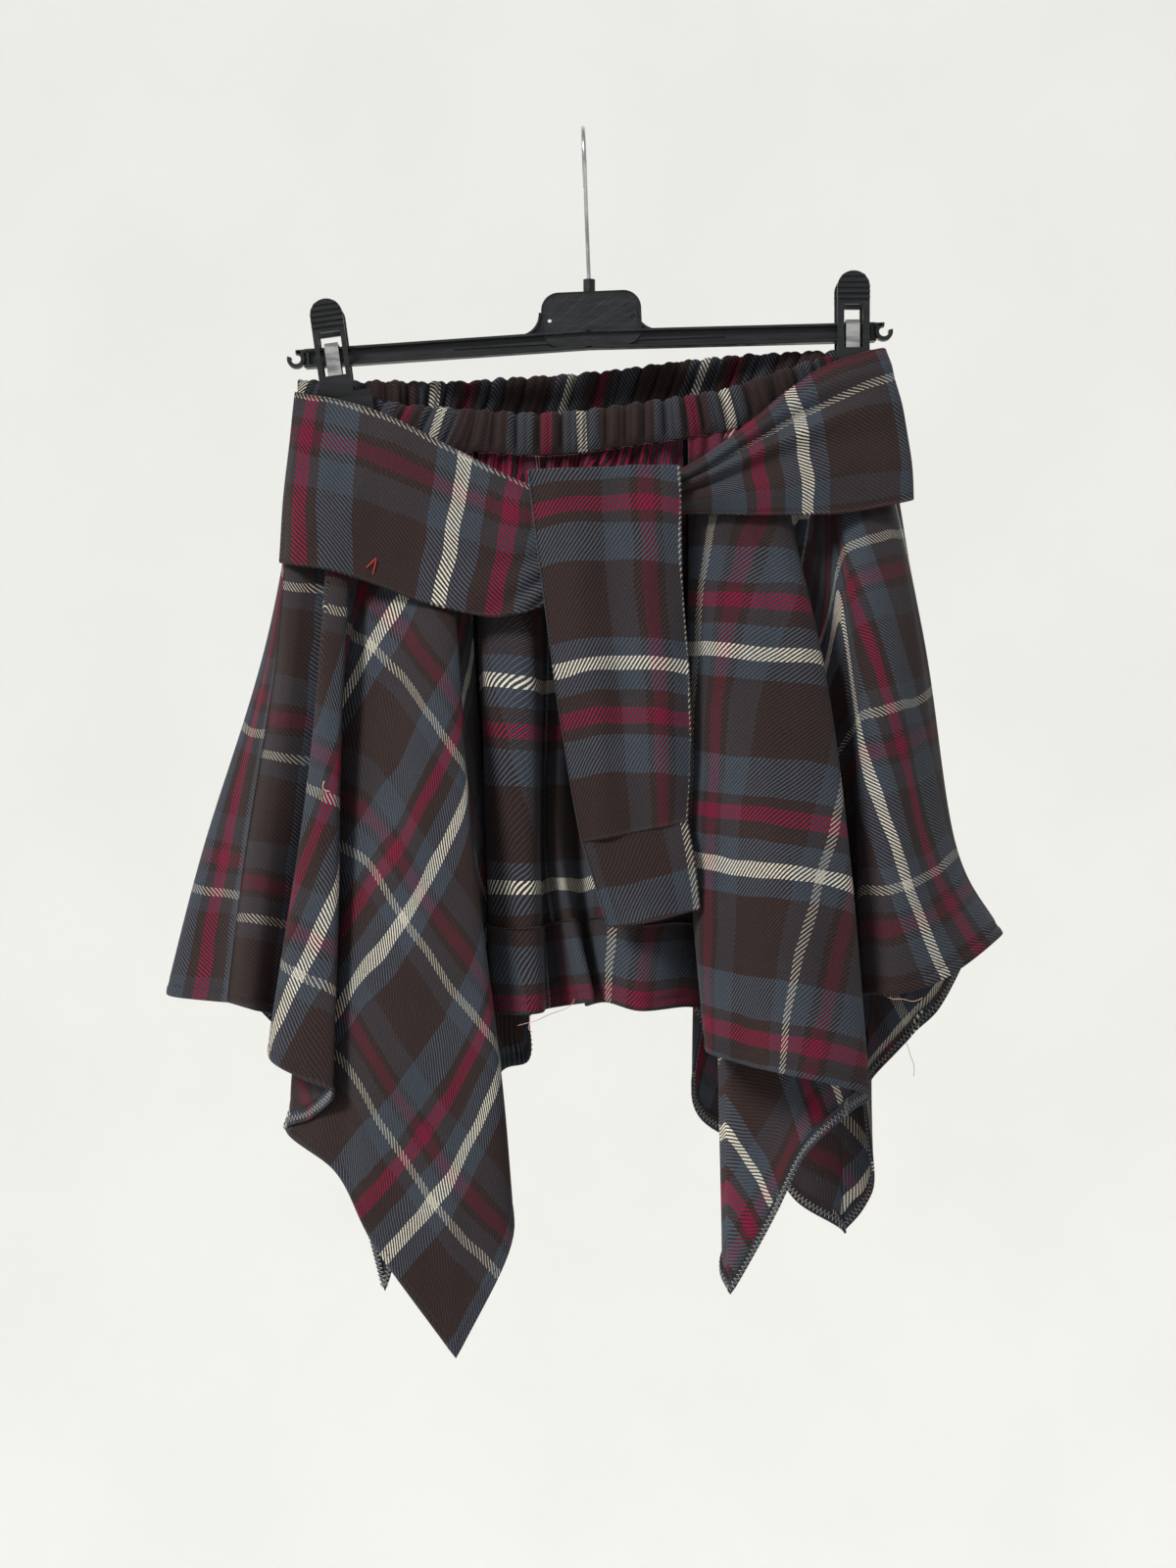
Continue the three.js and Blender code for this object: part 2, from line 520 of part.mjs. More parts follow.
function hookWire() {
  const r = HOOK_R;
  const centre = WIRE_D / 2 - r;
  const path = [[0, STEM_BASE.z], [0, -78], [0, -66], [-0.8, -54], [-5.5, -43.5]];
  for (let degrees = 222; degrees >= -36; degrees -= 21.5) {
    const turn = THREE.MathUtils.degToRad(degrees);
    path.push([r * Math.cos(turn), centre + r * Math.sin(turn)]);
  }
  const points = path.map(([y, z]) => new THREE.Vector3(STEM_BASE.x * (z / STEM_BASE.z), y, z));
  const section = new THREE.Shape();
  section.absarc(0, 0, WIRE_D / 2, 0, 2 * Math.PI);
  const extrudePath = new THREE.CatmullRomCurve3(points);
  return new THREE.ExtrudeGeometry(section, { steps: 48, extrudePath, curveSegments: 5 });
}

function hookCollar() {
  const geometry = new THREE.CylinderGeometry(3.7, 3.7, 7, 20);
  geometry.rotateX(Math.PI / 2);
  geometry.translate(STEM_BASE.x + 0.2, 0, STEM_BASE.z - 3.8);
  return geometry;
}

// ---- clips: built about the middle of the jaw's lower edge ----
function leafOutline() {
  // (Y, Z) of the front leaf: padded jaw at the bottom, then a step out to the long lever
  const pad = PINCHED + BAND_THICKNESS / 2 + 0.3;
  const t = CLIP.leaf;
  return [[-pad, 0], [-pad, CLIP.jaw - 3], [-6.7, CLIP.jaw + 4], [-8.4, CLIP.height],
    [-8.4 - t, CLIP.height], [-6.7 - t, CLIP.jaw + 4], [-pad - 3.4, CLIP.jaw - 3], [-pad - 2.6, 0]];
}

function roundTopped(half, height) {
  const shape = new THREE.Shape();
  shape.moveTo(-half, 0);
  shape.lineTo(half, 0);
  shape.absarc(0, height - half, half, 0, Math.PI);
  return shape;
}

function clipLeaf(clip, facing) {
  const lever = outline(leafOutline().map(([y, z]) => [facing * y, z]));
  const half = CLIP.width / 2;
  const wide = toSolid(extrudeAlongX(lever, clip.jawFrom, clip.jawTo));
  const low = toSolid(box([clip.jawFrom, -20, -1], [clip.jawTo, 20, CLIP.jaw]));
  const upright = toSolid(extrudeXZ(roundTopped(half, CLIP.height), 40));
  let leaf = toSolid(extrudeAlongX(lever, -half, half)).intersect(upright);
  leaf = leaf.add(wide.intersect(low));
  const [width, bottom, top] = clip.window;
  leaf = leaf.subtract(toSolid(box([-width / 2, -20, bottom], [width / 2, 20, top])));
  for (let i = 0; i < CLIP.ribs; i += 1) {
    const z = top + 3.4 + i * 3.4;
    const near = facing * -8.9;
    const far = facing * -11.4;
    const rib = box([-half, Math.min(near, far), z], [half, Math.max(near, far), z + 1.4]);
    leaf = leaf.add(toSolid(rib).intersect(upright));
  }
  return toGeometry(leaf);
}

function clipSpring(armTop) {
  // a steel strap over the arm, its ends pressing the two leaves towards each other
  const { half, thickness, bottom, width } = SPRING;
  const inner = half - thickness;
  const shape = outline([[-half, bottom], [-half, armTop], [-half + 2, armTop + 2.4], [half - 2, armTop + 2.4],
    [half, armTop], [half, bottom], [inner, bottom], [inner, armTop - 0.3], [inner - 1.6, armTop + 1.6],
    [1.6 - inner, armTop + 1.6], [-inner, armTop - 0.3], [-inner, bottom]]);
  return extrudeAlongX(shape, -width / 2, width / 2);
}

// ---- materials and the scene ----
function finish(color, roughness, metalness = 0) {
  return new THREE.MeshStandardMaterial({ color, roughness, metalness });
}

const steel = finish(0xb8bcc0, 0.3, 1);
const plastic = finish(0x202428, 0.45);
const plaid = finish(0x4d4b52, 0.9);
const knit = finish(0x141416, 0.95);

const skort = new THREE.Group();

function addPiece(parent, name, geometry, material) {
  const piece = new THREE.Mesh(geometry, material);
  piece.name = name;
  parent.add(piece);
}

addPiece(skort, 'hook_wire', hookWire(), steel);
addPiece(skort, 'hook_collar', hookCollar(), steel);
addPiece(skort, 'hanger_body', hangerBody(), plastic);

function armHeightAt(x) {
  const end = x < ARM_ROOT.x ? ARM_END_LEFT : ARM_END_RIGHT;
  return THREE.MathUtils.mapLinear(x, ARM_ROOT.x, end.x, ARM_ROOT.z, end.z);
}

for (const [side, clip] of [['left', CLIP_LEFT], ['right', CLIP_RIGHT]]) {
  const group = new THREE.Group();
  group.position.set(clip.x, 0, clip.z);
  group.rotation.y = -THREE.MathUtils.degToRad(clip.lean);
  const tilt = Math.tan(THREE.MathUtils.degToRad(clip.lean + ARM_SLOPE));
  const lift = armHeightAt(clip.x) - clip.z + ARM_HEIGHT / 2 - 0.7 + tilt * SPRING.width / 2;
  addPiece(group, `clip_${side}_front`, clipLeaf(clip, 1), plastic);
  addPiece(group, `clip_${side}_back`, clipLeaf(clip, -1), plastic);
  addPiece(group, `clip_${side}_spring`, clipSpring(lift), steel);
  skort.add(group);
}

addPiece(skort, 'waistband_front', bandPiece(BAND_FRONT, 36), plaid);
addPiece(skort, 'waistband_back', bandPiece(BAND_BACK, 36), plaid);
addPiece(skort, 'skirt_left', skirtPiece(SKIRT_LEFT, BAND_FRONT, -1), plaid);
addPiece(skort, 'skirt_front', skirtPiece(SKIRT_FRONT, BAND_FRONT, -1), plaid);
addPiece(skort, 'skirt_right', skirtPiece(SKIRT_RIGHT, BAND_FRONT, -1), plaid);
addPiece(skort, 'skirt_back', skirtPiece(SKIRT_BACK, BAND_BACK, 1), plaid);
addPiece(skort, 'sash_left', sashLeft(), plaid);
addPiece(skort, 'sash_right', sashRight(), plaid);
addPiece(skort, 'tail', tailPiece(), plaid);
addPiece(skort, 'tail_cuff', cuffPiece(), plaid);
addPiece(skort, 'shorts_seat', shortsSeat(), knit);
addPiece(skort, 'shorts_leg_left', shortsLeg(SHORTS_LEG.left), knit);
addPiece(skort, 'shorts_leg_right', shortsLeg(SHORTS_LEG.right), knit);

export default skort;
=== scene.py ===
import math
import bpy
import numpy as np
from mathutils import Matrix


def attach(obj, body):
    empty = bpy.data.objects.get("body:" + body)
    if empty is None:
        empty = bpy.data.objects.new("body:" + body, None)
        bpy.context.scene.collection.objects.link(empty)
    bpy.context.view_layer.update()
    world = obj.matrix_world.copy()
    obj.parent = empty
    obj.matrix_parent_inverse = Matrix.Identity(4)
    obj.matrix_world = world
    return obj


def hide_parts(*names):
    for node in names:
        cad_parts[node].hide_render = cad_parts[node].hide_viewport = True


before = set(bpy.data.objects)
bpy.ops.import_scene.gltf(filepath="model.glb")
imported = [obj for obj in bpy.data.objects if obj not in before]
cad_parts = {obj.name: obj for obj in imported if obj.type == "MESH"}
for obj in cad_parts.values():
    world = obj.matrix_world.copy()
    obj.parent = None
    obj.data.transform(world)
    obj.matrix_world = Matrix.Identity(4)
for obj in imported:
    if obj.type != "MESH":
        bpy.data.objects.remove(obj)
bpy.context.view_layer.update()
scene = bpy.context.scene
scene.view_settings.view_transform = "Standard"

MM = 0.001

# ---- camera: level, in front of the skirt, with the hook at the top of the view ----
EYE = (0.003035, -1.5, -0.4043)
LENS = 55.6

eye_data = bpy.data.cameras.new("eye")
eye_data.lens = LENS
eye = bpy.data.objects.new("eye", eye_data)
eye.location = EYE
eye.rotation_euler = (math.pi / 2, 0, 0)
scene.collection.objects.link(eye)
scene.camera = eye
# ---- sizes, in millimetres ----
BAND_HEIGHT = 25.5
BAND_WIDTH = 364  # the gathered waist, laid flat
CASING_FOLD = 2  # taken up by the rounded top
PINCHED = 1.8
SEAM_GAP = 0.8
HIP_Z = -313
THIGH_Z = -440
TWILL = 0.9
TURN_UP = 8.0
TURN_GAP = 1.2

# ---- waistband: x, depth y and top edge z of its middle surface ----
BAND_FRONT = [
    (-177, -PINCHED, -155), (-150, -PINCHED, -158), (-127, -PINCHED, -166.5), (-104, -13, -172),
    (-78, -23, -175.5), (-22, -31, -179.5), (40, -31, -172.5), (86, -25, -164),
    (126, -11, -149), (151, -PINCHED, -140), (187, -PINCHED, -136),
]
BAND_BACK = [
    (-177, PINCHED, -154), (-150, PINCHED, -155), (-127, PINCHED, -154.5), (-102, 14, -153),
    (-76, 25, -151), (-50, 31, -148), (10, 33, -143.5), (73, 28, -136.5),
    (122, 12, -135.5), (150, PINCHED, -136), (187, PINCHED, -135.5),
]

# ---- skirt pieces: a row is one line of the cloth from the waist seam down to the hem ----
# The columns are the fold's name, its place along the waist seam, (x, y) at the hip and at the
# thigh, (x, y, z) at the hem, and the hem point's place in the flat cloth: right of the middle
# of the waist, and down from it.
SKIRT_LEFT = [
    ("side seam", -176, (-186, -18), (-204, -28), (-215, -32, -536), (-525, 100)),
    ("panel", -166, (-174, -30), (-188, -42), (-198, -46, -539), (-525, 123)),
    ("valley", -158, (-154, -24), (-165, -27), (-176, -24, -548), (-525, 156)),
    ("flute left", -152, (-156, -40), (-170, -52), (-187, -60, -565), (-525, 198)),
    ("flute middle", -146, (-149, -47), (-158, -65), (-167, -77, -576), (-525, 228)),
    ("flute right", -139, (-142, -44), (-146, -64), (-146, -80, -585), (-525, 252)),
    ("return", -134, (-144, -32), (-152, -48), (-161, -60, -602), (-525, 292)),
    ("turn", -129, (-141, -22), (-159, -34), (-178, -46, -613), (-525, 335)),
    ("bias left", -122, (-125, -33), (-130, -58), (-145, -70, -634), (-525, 395)),
    ("bias middle", -112, (-108, -44), (-108, -74), (-121, -84, -675), (-525, 445)),
    ("corner", -101, (-91, -51), (-85, -85), (-74, -89, -738), (-525, 525)),
    ("ridge", -91, (-76, -50), (-64, -86), (-41, -84, -668), (-445, 525)),
    ("behind ridge", -83, (-80, -37), (-69, -62), (-55, -54, -625), (-390, 525)),
    ("valley end", -76, (-74, -29), (-66, -44), (-51, -36, -580), (-341, 525)),
    ("inner edge", -71, (-70, -25), (-60, -35), (-33, -36, -570), (-319, 525)),
    ("front seam", -67, (-67, -22), (-57, -27), (-33, -28, -545), (-292, 525)),
]
SKIRT_FRONT = [
    ("left seam", -63, (-64, -24), (-54, -30), (-31, -33, -540), (-144, 525)),
    ("pleat 1 left", -57, (-59, -36), (-58, -46), (-54, -54, -539), (-112, 525)),
    ("pleat 1 middle", -46, (-44, -46), (-44, -60), (-39, -68, -540), (-91, 525)),
    ("pleat 1 right", -34, (-28, -44), (-28, -58), (-25, -66, -539), (-74, 525)),
    ("valley 1", -25, (-23, -19), (-25, -22), (-21, -26, -540), (-33, 525)),
    ("pleat 2 ridge", -14, (-11, -27), (-15, -43), (5, -62, -533), (12, 525)),
    ("valley 2", -4, (-4, -20), (-3, -26), (2, -32, -538), (43, 525)),
    ("pleat 3 left", 8, (7, -33), (8, -43), (14, -51, -534), (66, 525)),
    ("pleat 3 middle", 30, (33, -42), (33, -54), (34, -64, -538), (91, 525)),
    ("pleat 3 right", 50, (55, -35), (56, -43), (61, -48, -537), (123, 525)),
    ("right seam", 60, (64, -24), (66, -28), (74, -32, -540), (144, 525)),
]
SKIRT_RIGHT = [
    ("front seam", 64, (68, -25), (71, -32), (82, -42, -562), (75, 525)),
    ("flap left", 66, (62, -46), (65, -64), (73, -80, -561), (113, 525)),
    ("flap swell", 75, (78, -57), (87, -82), (97, -98, -567), (165, 525)),
    ("flap middle", 86, (99, -61), (111, -92), (120, -108, -571), (206, 525)),
    ("flap right", 97, (120, -57), (134, -88), (144, -102, -577), (233, 525)),
    ("ridge", 106, (139, -49), (155, -76), (168, -86, -586), (264, 525)),
    ("return", 113, (139, -36), (148, -56), (158, -66, -598), (292, 525)),
    ("return middle", 119, (131, -27), (129, -47), (133, -59, -624), (340, 525)),
    ("return left", 125, (127, -21), (108, -42), (114, -56, -662), (398, 525)),
    ("corner", 130, (126, -17), (90, -41), (88, -58, -707), (452, 525)),
    ("left fold", 135, (130, -15), (87, -29), (85, -47, -692), (452, 502)),
    ("hidden", 140, (140, -15), (108, -22), (106, -38, -650), (540, 480)),
    ("hidden end", 145, (153, -18), (143, -22), (140, -32, -590), (556, 420)),
    ("valley", 149, (163, -24), (162, -30), (163, -38, -545), (552, 369)),
    ("side left", 153, (166, -37), (165, -48), (167, -58, -529), (552, 342)),
    ("side middle", 161, (177, -43), (182, -57), (187, -67, -528), (552, 319)),
    ("side fold", 171, (193, -33), (204, -46), (218, -52, -519), (553, 283)),
    ("silhouette", 180, (210, -6), (229, -8), (257, -14, -496), (552, 223)),
    ("back seam", 185, (206, 18), (219, 28), (245, 36, -508), (548, 169)),
]
SKIRT_BACK = [
    ("left seam", -176, (-186.3, -17.2), (-204.3, -27.2), (-215.3, -31.2, -536), (-392, -92)),
    ("silhouette", -170, (-195, 6), (-233, 6), (-256, 6, -535), (-392, -140)),
    ("left swell", -158, (-182, 24), (-215, 40), (-234, 50, -532), (-392, -206)),
    ("left valley", -145, (-166, 18), (-186, 24), (-192, 28, -556), (-392, -291)),
    ("left fall", -136, (-158, 27), (-164, 44), (-154, 44, -632), (-392, -399)),
    ("left corner", -126, (-148, 33), (-144, 56), (-127, 52, -728), (-392, -525)),
    ("left inner", -110, (-128, 26), (-118, 36), (-103, 36, -646), (-282, -525)),
    ("swell 1", -88, (-102, 42), (-92, 60), (-80, 70, -592), (-195, -525)),
    ("valley 1", -64, (-70, 29), (-59, 38), (-44, 38, -556), (-118, -525)),
    ("swell 2", -36, (-38, 44), (-29, 62), (-13, 72, -540), (-56, -525)),
    ("valley 2", -4, (2, 31), (9, 42), (19, 44, -532), (0, -525)),
    ("swell 3", 32, (38, 44), (46, 63), (52, 72, -536), (56, -525)),
    ("valley 3", 54, (61, 31), (66, 38), (73, 34, -546), (115, -525)),
    ("cascade", 68, (74, 34), (76, 46), (72, 48, -612), (200, -525)),
    ("swell 4", 88, (101, 42), (110, 60), (108, 64, -640), (262, -525)),
    ("valley 4", 110, (126, 27), (135, 34), (131, 34, -664), (320, -525)),
    ("right corner", 130, (148, 35), (158, 52), (166, 48, -690), (378, -525)),
    ("right fall", 144, (163, 38), (172, 54), (180, 44, -668), (378, -489)),
    ("right inner", 155, (176, 36), (184, 46), (178, 34, -618), (378, -425)),
    ("valley 5", 166, (189, 28), (197, 33), (186, 16, -586), (378, -378)),
    ("turned up", 174, (196, 24), (206, 29), (206, 12, -560), (378, -336)),
    ("swell 5", 180, (202, 23), (214, 31), (224, 12, -541), (378, -303)),
    ("right seam", 185.6, (205.4, 19.1), (218.4, 29.2), (244.4, 37.2, -508), (378, -245)),
]

# ---- sash: left part, a row is one section across it from its top to its bottom edge ----
SASH_LEFT = [
    ("side seam", (-177, -4.6, -163), (-182, -9, -212), (-186, -17, -268)),
    ("wrap", (-168, -12, -166), (-174, -22, -216), (-174, -33, -271)),
    ("over the clip", (-149, -18, -170), (-153, -30, -221), (-152, -41, -275)),
    ("quarter", (-119, -28, -181), (-122, -37, -232), (-124, -44, -284)),
    ("half", (-79, -39, -202), (-84, -47, -248), (-92, -52, -296)),
    ("beside the tail", (-36, -47, -224), (-42, -54, -262), (-50, -58, -304)),
    ("behind the tail", (-10, -54.6, -231), (-14, -56.2, -262), (-19, -57, -296)),
]
# right part, a row is one line along it: seam, side, clip, third, near, knot, end
SASH_RIGHT = [
    ("top edge", (186, -4.4, -139), (183, -11, -137), (151, -18, -148), (124, -24, -166),
     (90, -36, -194), (57, -48, -217), (22, -54, -223)),
    ("upper fold", (186.5, -4.4, -149), (187, -14, -147), (154, -24, -159), (126, -31, -175),
     (92, -42, -199), (57, -53, -221), (22, -56, -226)),
    ("crease 1", (187.5, -4.6, -158), (189, -14, -156), (156, -22, -170), (129, -28, -184),
     (94, -38, -204), (57, -49, -224), (22, -54.6, -229)),
    ("middle fold", (191.5, -5.4, -173), (193, -16, -172), (158, -28, -180), (130, -35, -193),
     (95, -45, -210), (57, -54, -227), (22, -56, -232)),
    ("crease 2", (193, -6.4, -190), (196, -16, -190), (160, -27, -195), (131, -33, -204),
     (95, -42, -217), (57, -50, -230), (22, -54.6, -235)),
    ("main face", (195.5, -8, -209), (198, -19, -210), (162, -32, -215), (133, -40, -222),
     (97, -48, -228), (57, -54, -236), (22, -56, -240)),
    ("bottom edge", (198, -10, -228), (198, -21, -231), (161, -33, -239), (134, -39, -241),
     (98, -46, -242), (57, -52, -242), (22, -55, -246)),
]
# tail, a row is one line down it: tucked end, top fold, chest, half, low, cuff seam
TAIL = [
    ("left edge", (-26, -57.8, -252), (-32, -60, -219), (-23, -66, -290), (-15, -70, -350),
     (-7, -74, -400), (0, -76, -438)),
    ("left swell", (-6, -57.8, -254), (-10, -62, -218), (-4, -73, -288), (4, -79, -347),
     (10, -82, -396), (15, -83, -435)),
    ("middle", (16, -57.8, -254), (13, -61, -217), (17, -69, -286), (23, -74, -343),
     (27, -79, -391), (30, -81, -432)),
    ("right swell", (36, -57.8, -252), (35, -62, -216), (38, -72, -284), (43, -77, -339),
     (45, -80, -386), (46, -80, -429)),
    ("right edge", (52, -57.6, -250), (57, -60, -216), (58, -65, -282), (62, -69, -335),
     (63, -72, -381), (61, -75, -426)),
]
# cuff, a row is one line down it: seam, low, hem
CUFF = [
    ("left edge", (0, -76, -438.5), (7, -78, -461), (15, -77, -488)),
    ("middle", (30, -81, -432.5), (36, -84, -456), (41, -84, -484)),
    ("right edge", (61, -75, -426.5), (65, -80, -450), (68, -79, -477)),
]

SHORTS_X = 4
SHORTS_WAIST = 128
SHORTS_RINGS = [(138, 17, -262), (146, 12, -335)]
LEG_WIDTH = 70
LEG_HEM_WIDTH = 72
LEG_DEPTH = 11
LEG_TOP = -335.8
LEG_HEM = -432
LEG_X = {"left": -70, "right": 78}
# ---- smooth curves through the tables ----


def curve_weights(count, places):
    """How much each of count points counts at places from 0 to 1 along a smooth curve."""
    weights = np.zeros((len(places), count))
    for row, place in enumerate(places):
        at = min(max(place, 0.0), 1.0) * (count - 1)
        i = min(int(at), count - 2)
        t = at - i
        four = (2 * t * t - t - t ** 3, 2 - 5 * t * t + 3 * t ** 3,
                t + 4 * t * t - 3 * t ** 3, t ** 3 - t * t)
        for k, share in zip(range(i - 1, i + 3), four):
            if k < 0:
                weights[row, 0] += share
                weights[row, 1] -= share / 2
            elif k >= count:
                weights[row, count - 1] += share
                weights[row, count - 2] -= share / 2
            else:
                weights[row, k] += share / 2
    return weights


def lofted(lines, across, down):
    """A grid of points on the smooth surface through lines of points."""
    rows = curve_weights(lines.shape[0], across)
    steps = curve_weights(lines.shape[1], down)
    return np.einsum("ir,rpk,jp->ijk", rows, lines, steps)


def even(count):
    return np.linspace(0, 1, count + 1)


def band_at(table, x):
    """Depth and top edge of a waistband at one x."""
    rows = np.array(table, float)
    i = int(np.clip(np.searchsorted(rows[:, 0], x) - 1, 0, len(rows) - 2))
    t = np.clip((x - rows[i, 0]) / (rows[i + 1, 0] - rows[i, 0]), 0, 1)
    y, z = (curve_weights(len(rows), [(i + t) / (len(rows) - 1)]) @ rows[:, 1:])[0]
    return math.copysign(max(abs(y), PINCHED), rows[0, 1]), z


def run_of(points, axis):
    """Length along a grid of points, from 0 at its first row or column."""
    steps = np.linalg.norm(np.diff(points, axis=axis), axis=2)
    start = np.zeros_like(np.take(steps, [0], axis=axis))
    return np.concatenate([start, np.cumsum(steps, axis=axis)], axis=axis)


def unit(vectors):
    return vectors / np.maximum(np.linalg.norm(vectors, axis=-1, keepdims=True), 1e-9)


def ripple(along, fall, waves, seed):
    """Irregular waves over a surface: each wave is a length across, a length down and a height."""
    rng = np.random.default_rng(seed)
    height = np.zeros(np.broadcast(along, fall).shape)
    for across_mm, down_mm, high in waves:
        for _ in range(3):
            phase = rng.uniform(0, 2 * math.pi)
            turn = rng.uniform(0.75, 1.3)
            lean = rng.uniform(-1, 1)
            u = 2 * math.pi * turn * along / across_mm
            v = 2 * math.pi * lean * fall / down_mm
            height += high / 3 * np.sin(u + v + phase)
    return height


def smooth(low, high, value):
    t = np.clip((value - low) / (high - low), 0, 1)
    return t * t * (3 - 2 * t)


# ---- placing the plaid: each piece's place on the woven cloth ----
# The cloth's two directions are v, across its darker stripes, and h, across its bright ones.
# Turn is how the piece was laid: 0 as woven, 180 upside down, 90 and -90 on its side.
# The other columns are where the piece starts on the cloth, v and h, and how far a pulled or
# gathered piece draws the stripes together, v and h.
LAID = {
    "left_drape": (0, 75.6, 76.1, 1.0, 1.0),
    "front_panel": (180, 87.0, 62.1, 1.0, 1.0),
    "front_hem_band": (0, 34.1, 46.0, 1.0, 1.0),
    "right_drape": (0, 5.1, 35.1, 1.0, 1.0),
    "back_panel": (0, 31.1, 50.0, 1.0, 1.0),
    "left_sash": (-90, 3.0, 18.4, 0.9, 0.92),
    "right_sash": (90, 25.5, 125.0, 1.0, 1.0),
    "sash_tail": (180, 89.5, 102.0, 1.0, 1.0),
    "cuff_cloth": (0, 43.6, 97.5, 1.0, 1.0),
    "front_waistband": (90, 84.0, 3.2, 1.0, 1.438),
    "back_waistband": (-90, 28.0, 19.0, 1.0, 1.50),
}


def woven(name, flat):
    """Carries a flat place, right and down, to the cloth's own v and h."""
    turn, v_start, h_start, v_scale, h_scale = LAID[name]
    right = flat[..., 0]
    down = flat[..., 1]
    v, h = {0: (right, -down), 180: (-right, down), -90: (down, right), 90: (-down, -right)}[turn]
    return np.stack([v * v_scale + v_start, h * h_scale + h_start], axis=-1)


def skirt_lines(table, band, side):
    lines = []
    for _, seam, hip, thigh, hem, _ in table:
        y, z = band_at(band, seam)
        top = (seam, y + side * 0.8, z - BAND_HEIGHT - SEAM_GAP)
        lines.append([top, (*hip, HIP_Z), (*thigh, THIGH_Z), hem])
    return np.array(lines, float)


def fall_steps(count):
    """Steps down a piece, closer together near the waist seam and the hem."""
    t = even(count)
    return t + 0.045 * np.sin(4 * math.pi * t) * -1


def between_breaks(values, across, breaks):
    """A smooth curve through values that may turn sharply at the broken rows."""
    rows = len(values) - 1
    places = across * rows
    out = np.zeros((len(across), values.shape[1]))
    stops = [0] + breaks + [rows]
    for low, high in zip(stops[:-1], stops[1:]):
        inside = (places >= low) & (places <= high)
        local = (places[inside] - low) / (high - low)
        out[inside] = curve_weights(high - low + 1, local) @ values[low:high + 1]
    return out


def evened(values, reach):
    """A running average along a row of values."""
    padded = np.concatenate([np.repeat(values[:1], reach), values, np.repeat(values[-1:], reach)])
    return np.convolve(padded, np.ones(2 * reach + 1) / (2 * reach + 1), "valid")


def skirt_grid(table, band, side, fine, down, middle=(0, 0), ease=1.0, level=None,
               kept_level=1.0, strip=None, slack=0.0):
    """A skirt piece's points, and their place in the flat cloth.

    Lines down the piece run straight towards the middle, and ease is how much of the cloth's
    length is taken up in small wrinkles. The hem turns sharply at each row named a corner. Level
    is two cuts: rows before the first run level with the side seam, as far as kept_level says.
    Strip is the cloth that shows in the gathers just under the waistband, and slack is how far
    the cloth's stripes spread towards the waist."""
    rows = len(table) - 1
    across = even(rows * fine)
    steps = fall_steps(down)
    lines = skirt_lines(table, band, side)
    grid = lofted(lines, across, steps)
    breaks = [i for i, row in enumerate(table) if "corner" in row[0]]
    hem_line = between_breaks(lines[:, -1], across, breaks)
    share = smooth(0.55, 1.0, steps)[None, :, None]
    grid = grid + (hem_line - grid[:, -1])[:, None, :] * share
    cuts = np.array([row[5] for row in table], float)
    hem = between_breaks(cuts, across, breaks)
    fall = run_of(grid, 1)
    length = fall[:, -1:]
    aim = np.tile(np.array(middle, float), (len(hem), 1))
    if level:
        aim[:, 1] = kept_level * hem[:, 1] * (1 - smooth(*level, hem[:, 1]))
    reach = hem - aim
    size = np.linalg.norm(reach, axis=1)
    start = evened(size - ease * length[:, 0], 2 * fine)
    top = hem - reach * (1 - start / size)[:, None]
    up = 1 - fall / length
    up = up * (1 - slack * up)
    flat = hem[:, None, :] + (top - hem)[:, None, :] * up[..., None]
    if strip is not None:
        kept = smooth(24, 75, fall)
        flat[..., 1] = flat[..., 1] * kept + (strip + 0.4 * fall) * (1 - kept)
    return grid, flat


def strap_grid(sections, fine, down, gauge):
    """A sash part from sections across it, each from its top edge to its bottom edge.

    Gauge is the section whose length across gives the cloth's width."""
    lines = np.array(sections, float)
    count = len(sections) - 1
    grid = lofted(lines, even(count * fine), even(down))
    right = run_of(grid, 0)[:, down // 2]
    across = run_of(grid, 1)[gauge * fine]
    flat = np.stack(np.broadcast_arrays(right[:, None], across[None, :]), axis=-1)
    return grid, flat


def sash_left_grid(fine, down):
    return strap_grid([row[1:] for row in SASH_LEFT], fine, down, 4)


def sash_right_grid(fine, down):
    """From the knot to the side seam; its folds are closest together at the knot."""
    stations = [[row[k] for row in SASH_RIGHT] for k in range(7, 0, -1)]
    return strap_grid(stations, fine, down, 4)


def hanging_grid(table, fine, down, level):
    """The tail or its cuff; level is the part of the fall where its width is measured."""
    lines = np.array([row[1:] for row in table], float)
    count = len(table) - 1
    grid = lofted(lines, even(count * fine), even(down))
    right = run_of(grid, 0)[:, int(level * down)]
    fall = run_of(grid, 1)
    flat = np.stack(np.broadcast_arrays(right[:, None], fall), axis=-1)
    return grid, flat


# ---- building cloth: a thin closed wall on each grid ----
WALL_GAP_TURNS = 6  # steps round the fold of a turned-up hem
RIM_STEPS = 3  # steps round a raw or folded edge


def normals_of(grid, side):
    """Outward directions that stay steady where the steps of a grid change length."""
    directions = []
    for axis in (0, 1):
        steps = unit(np.diff(grid, axis=axis))
        first = np.take(steps, [0], axis=axis)
        last = np.take(steps, [-1], axis=axis)
        before = np.concatenate([first, steps], axis=axis)
        after = np.concatenate([steps, last], axis=axis)
        directions.append(unit(before + after))
    return side * unit(np.cross(directions[0], directions[1]))


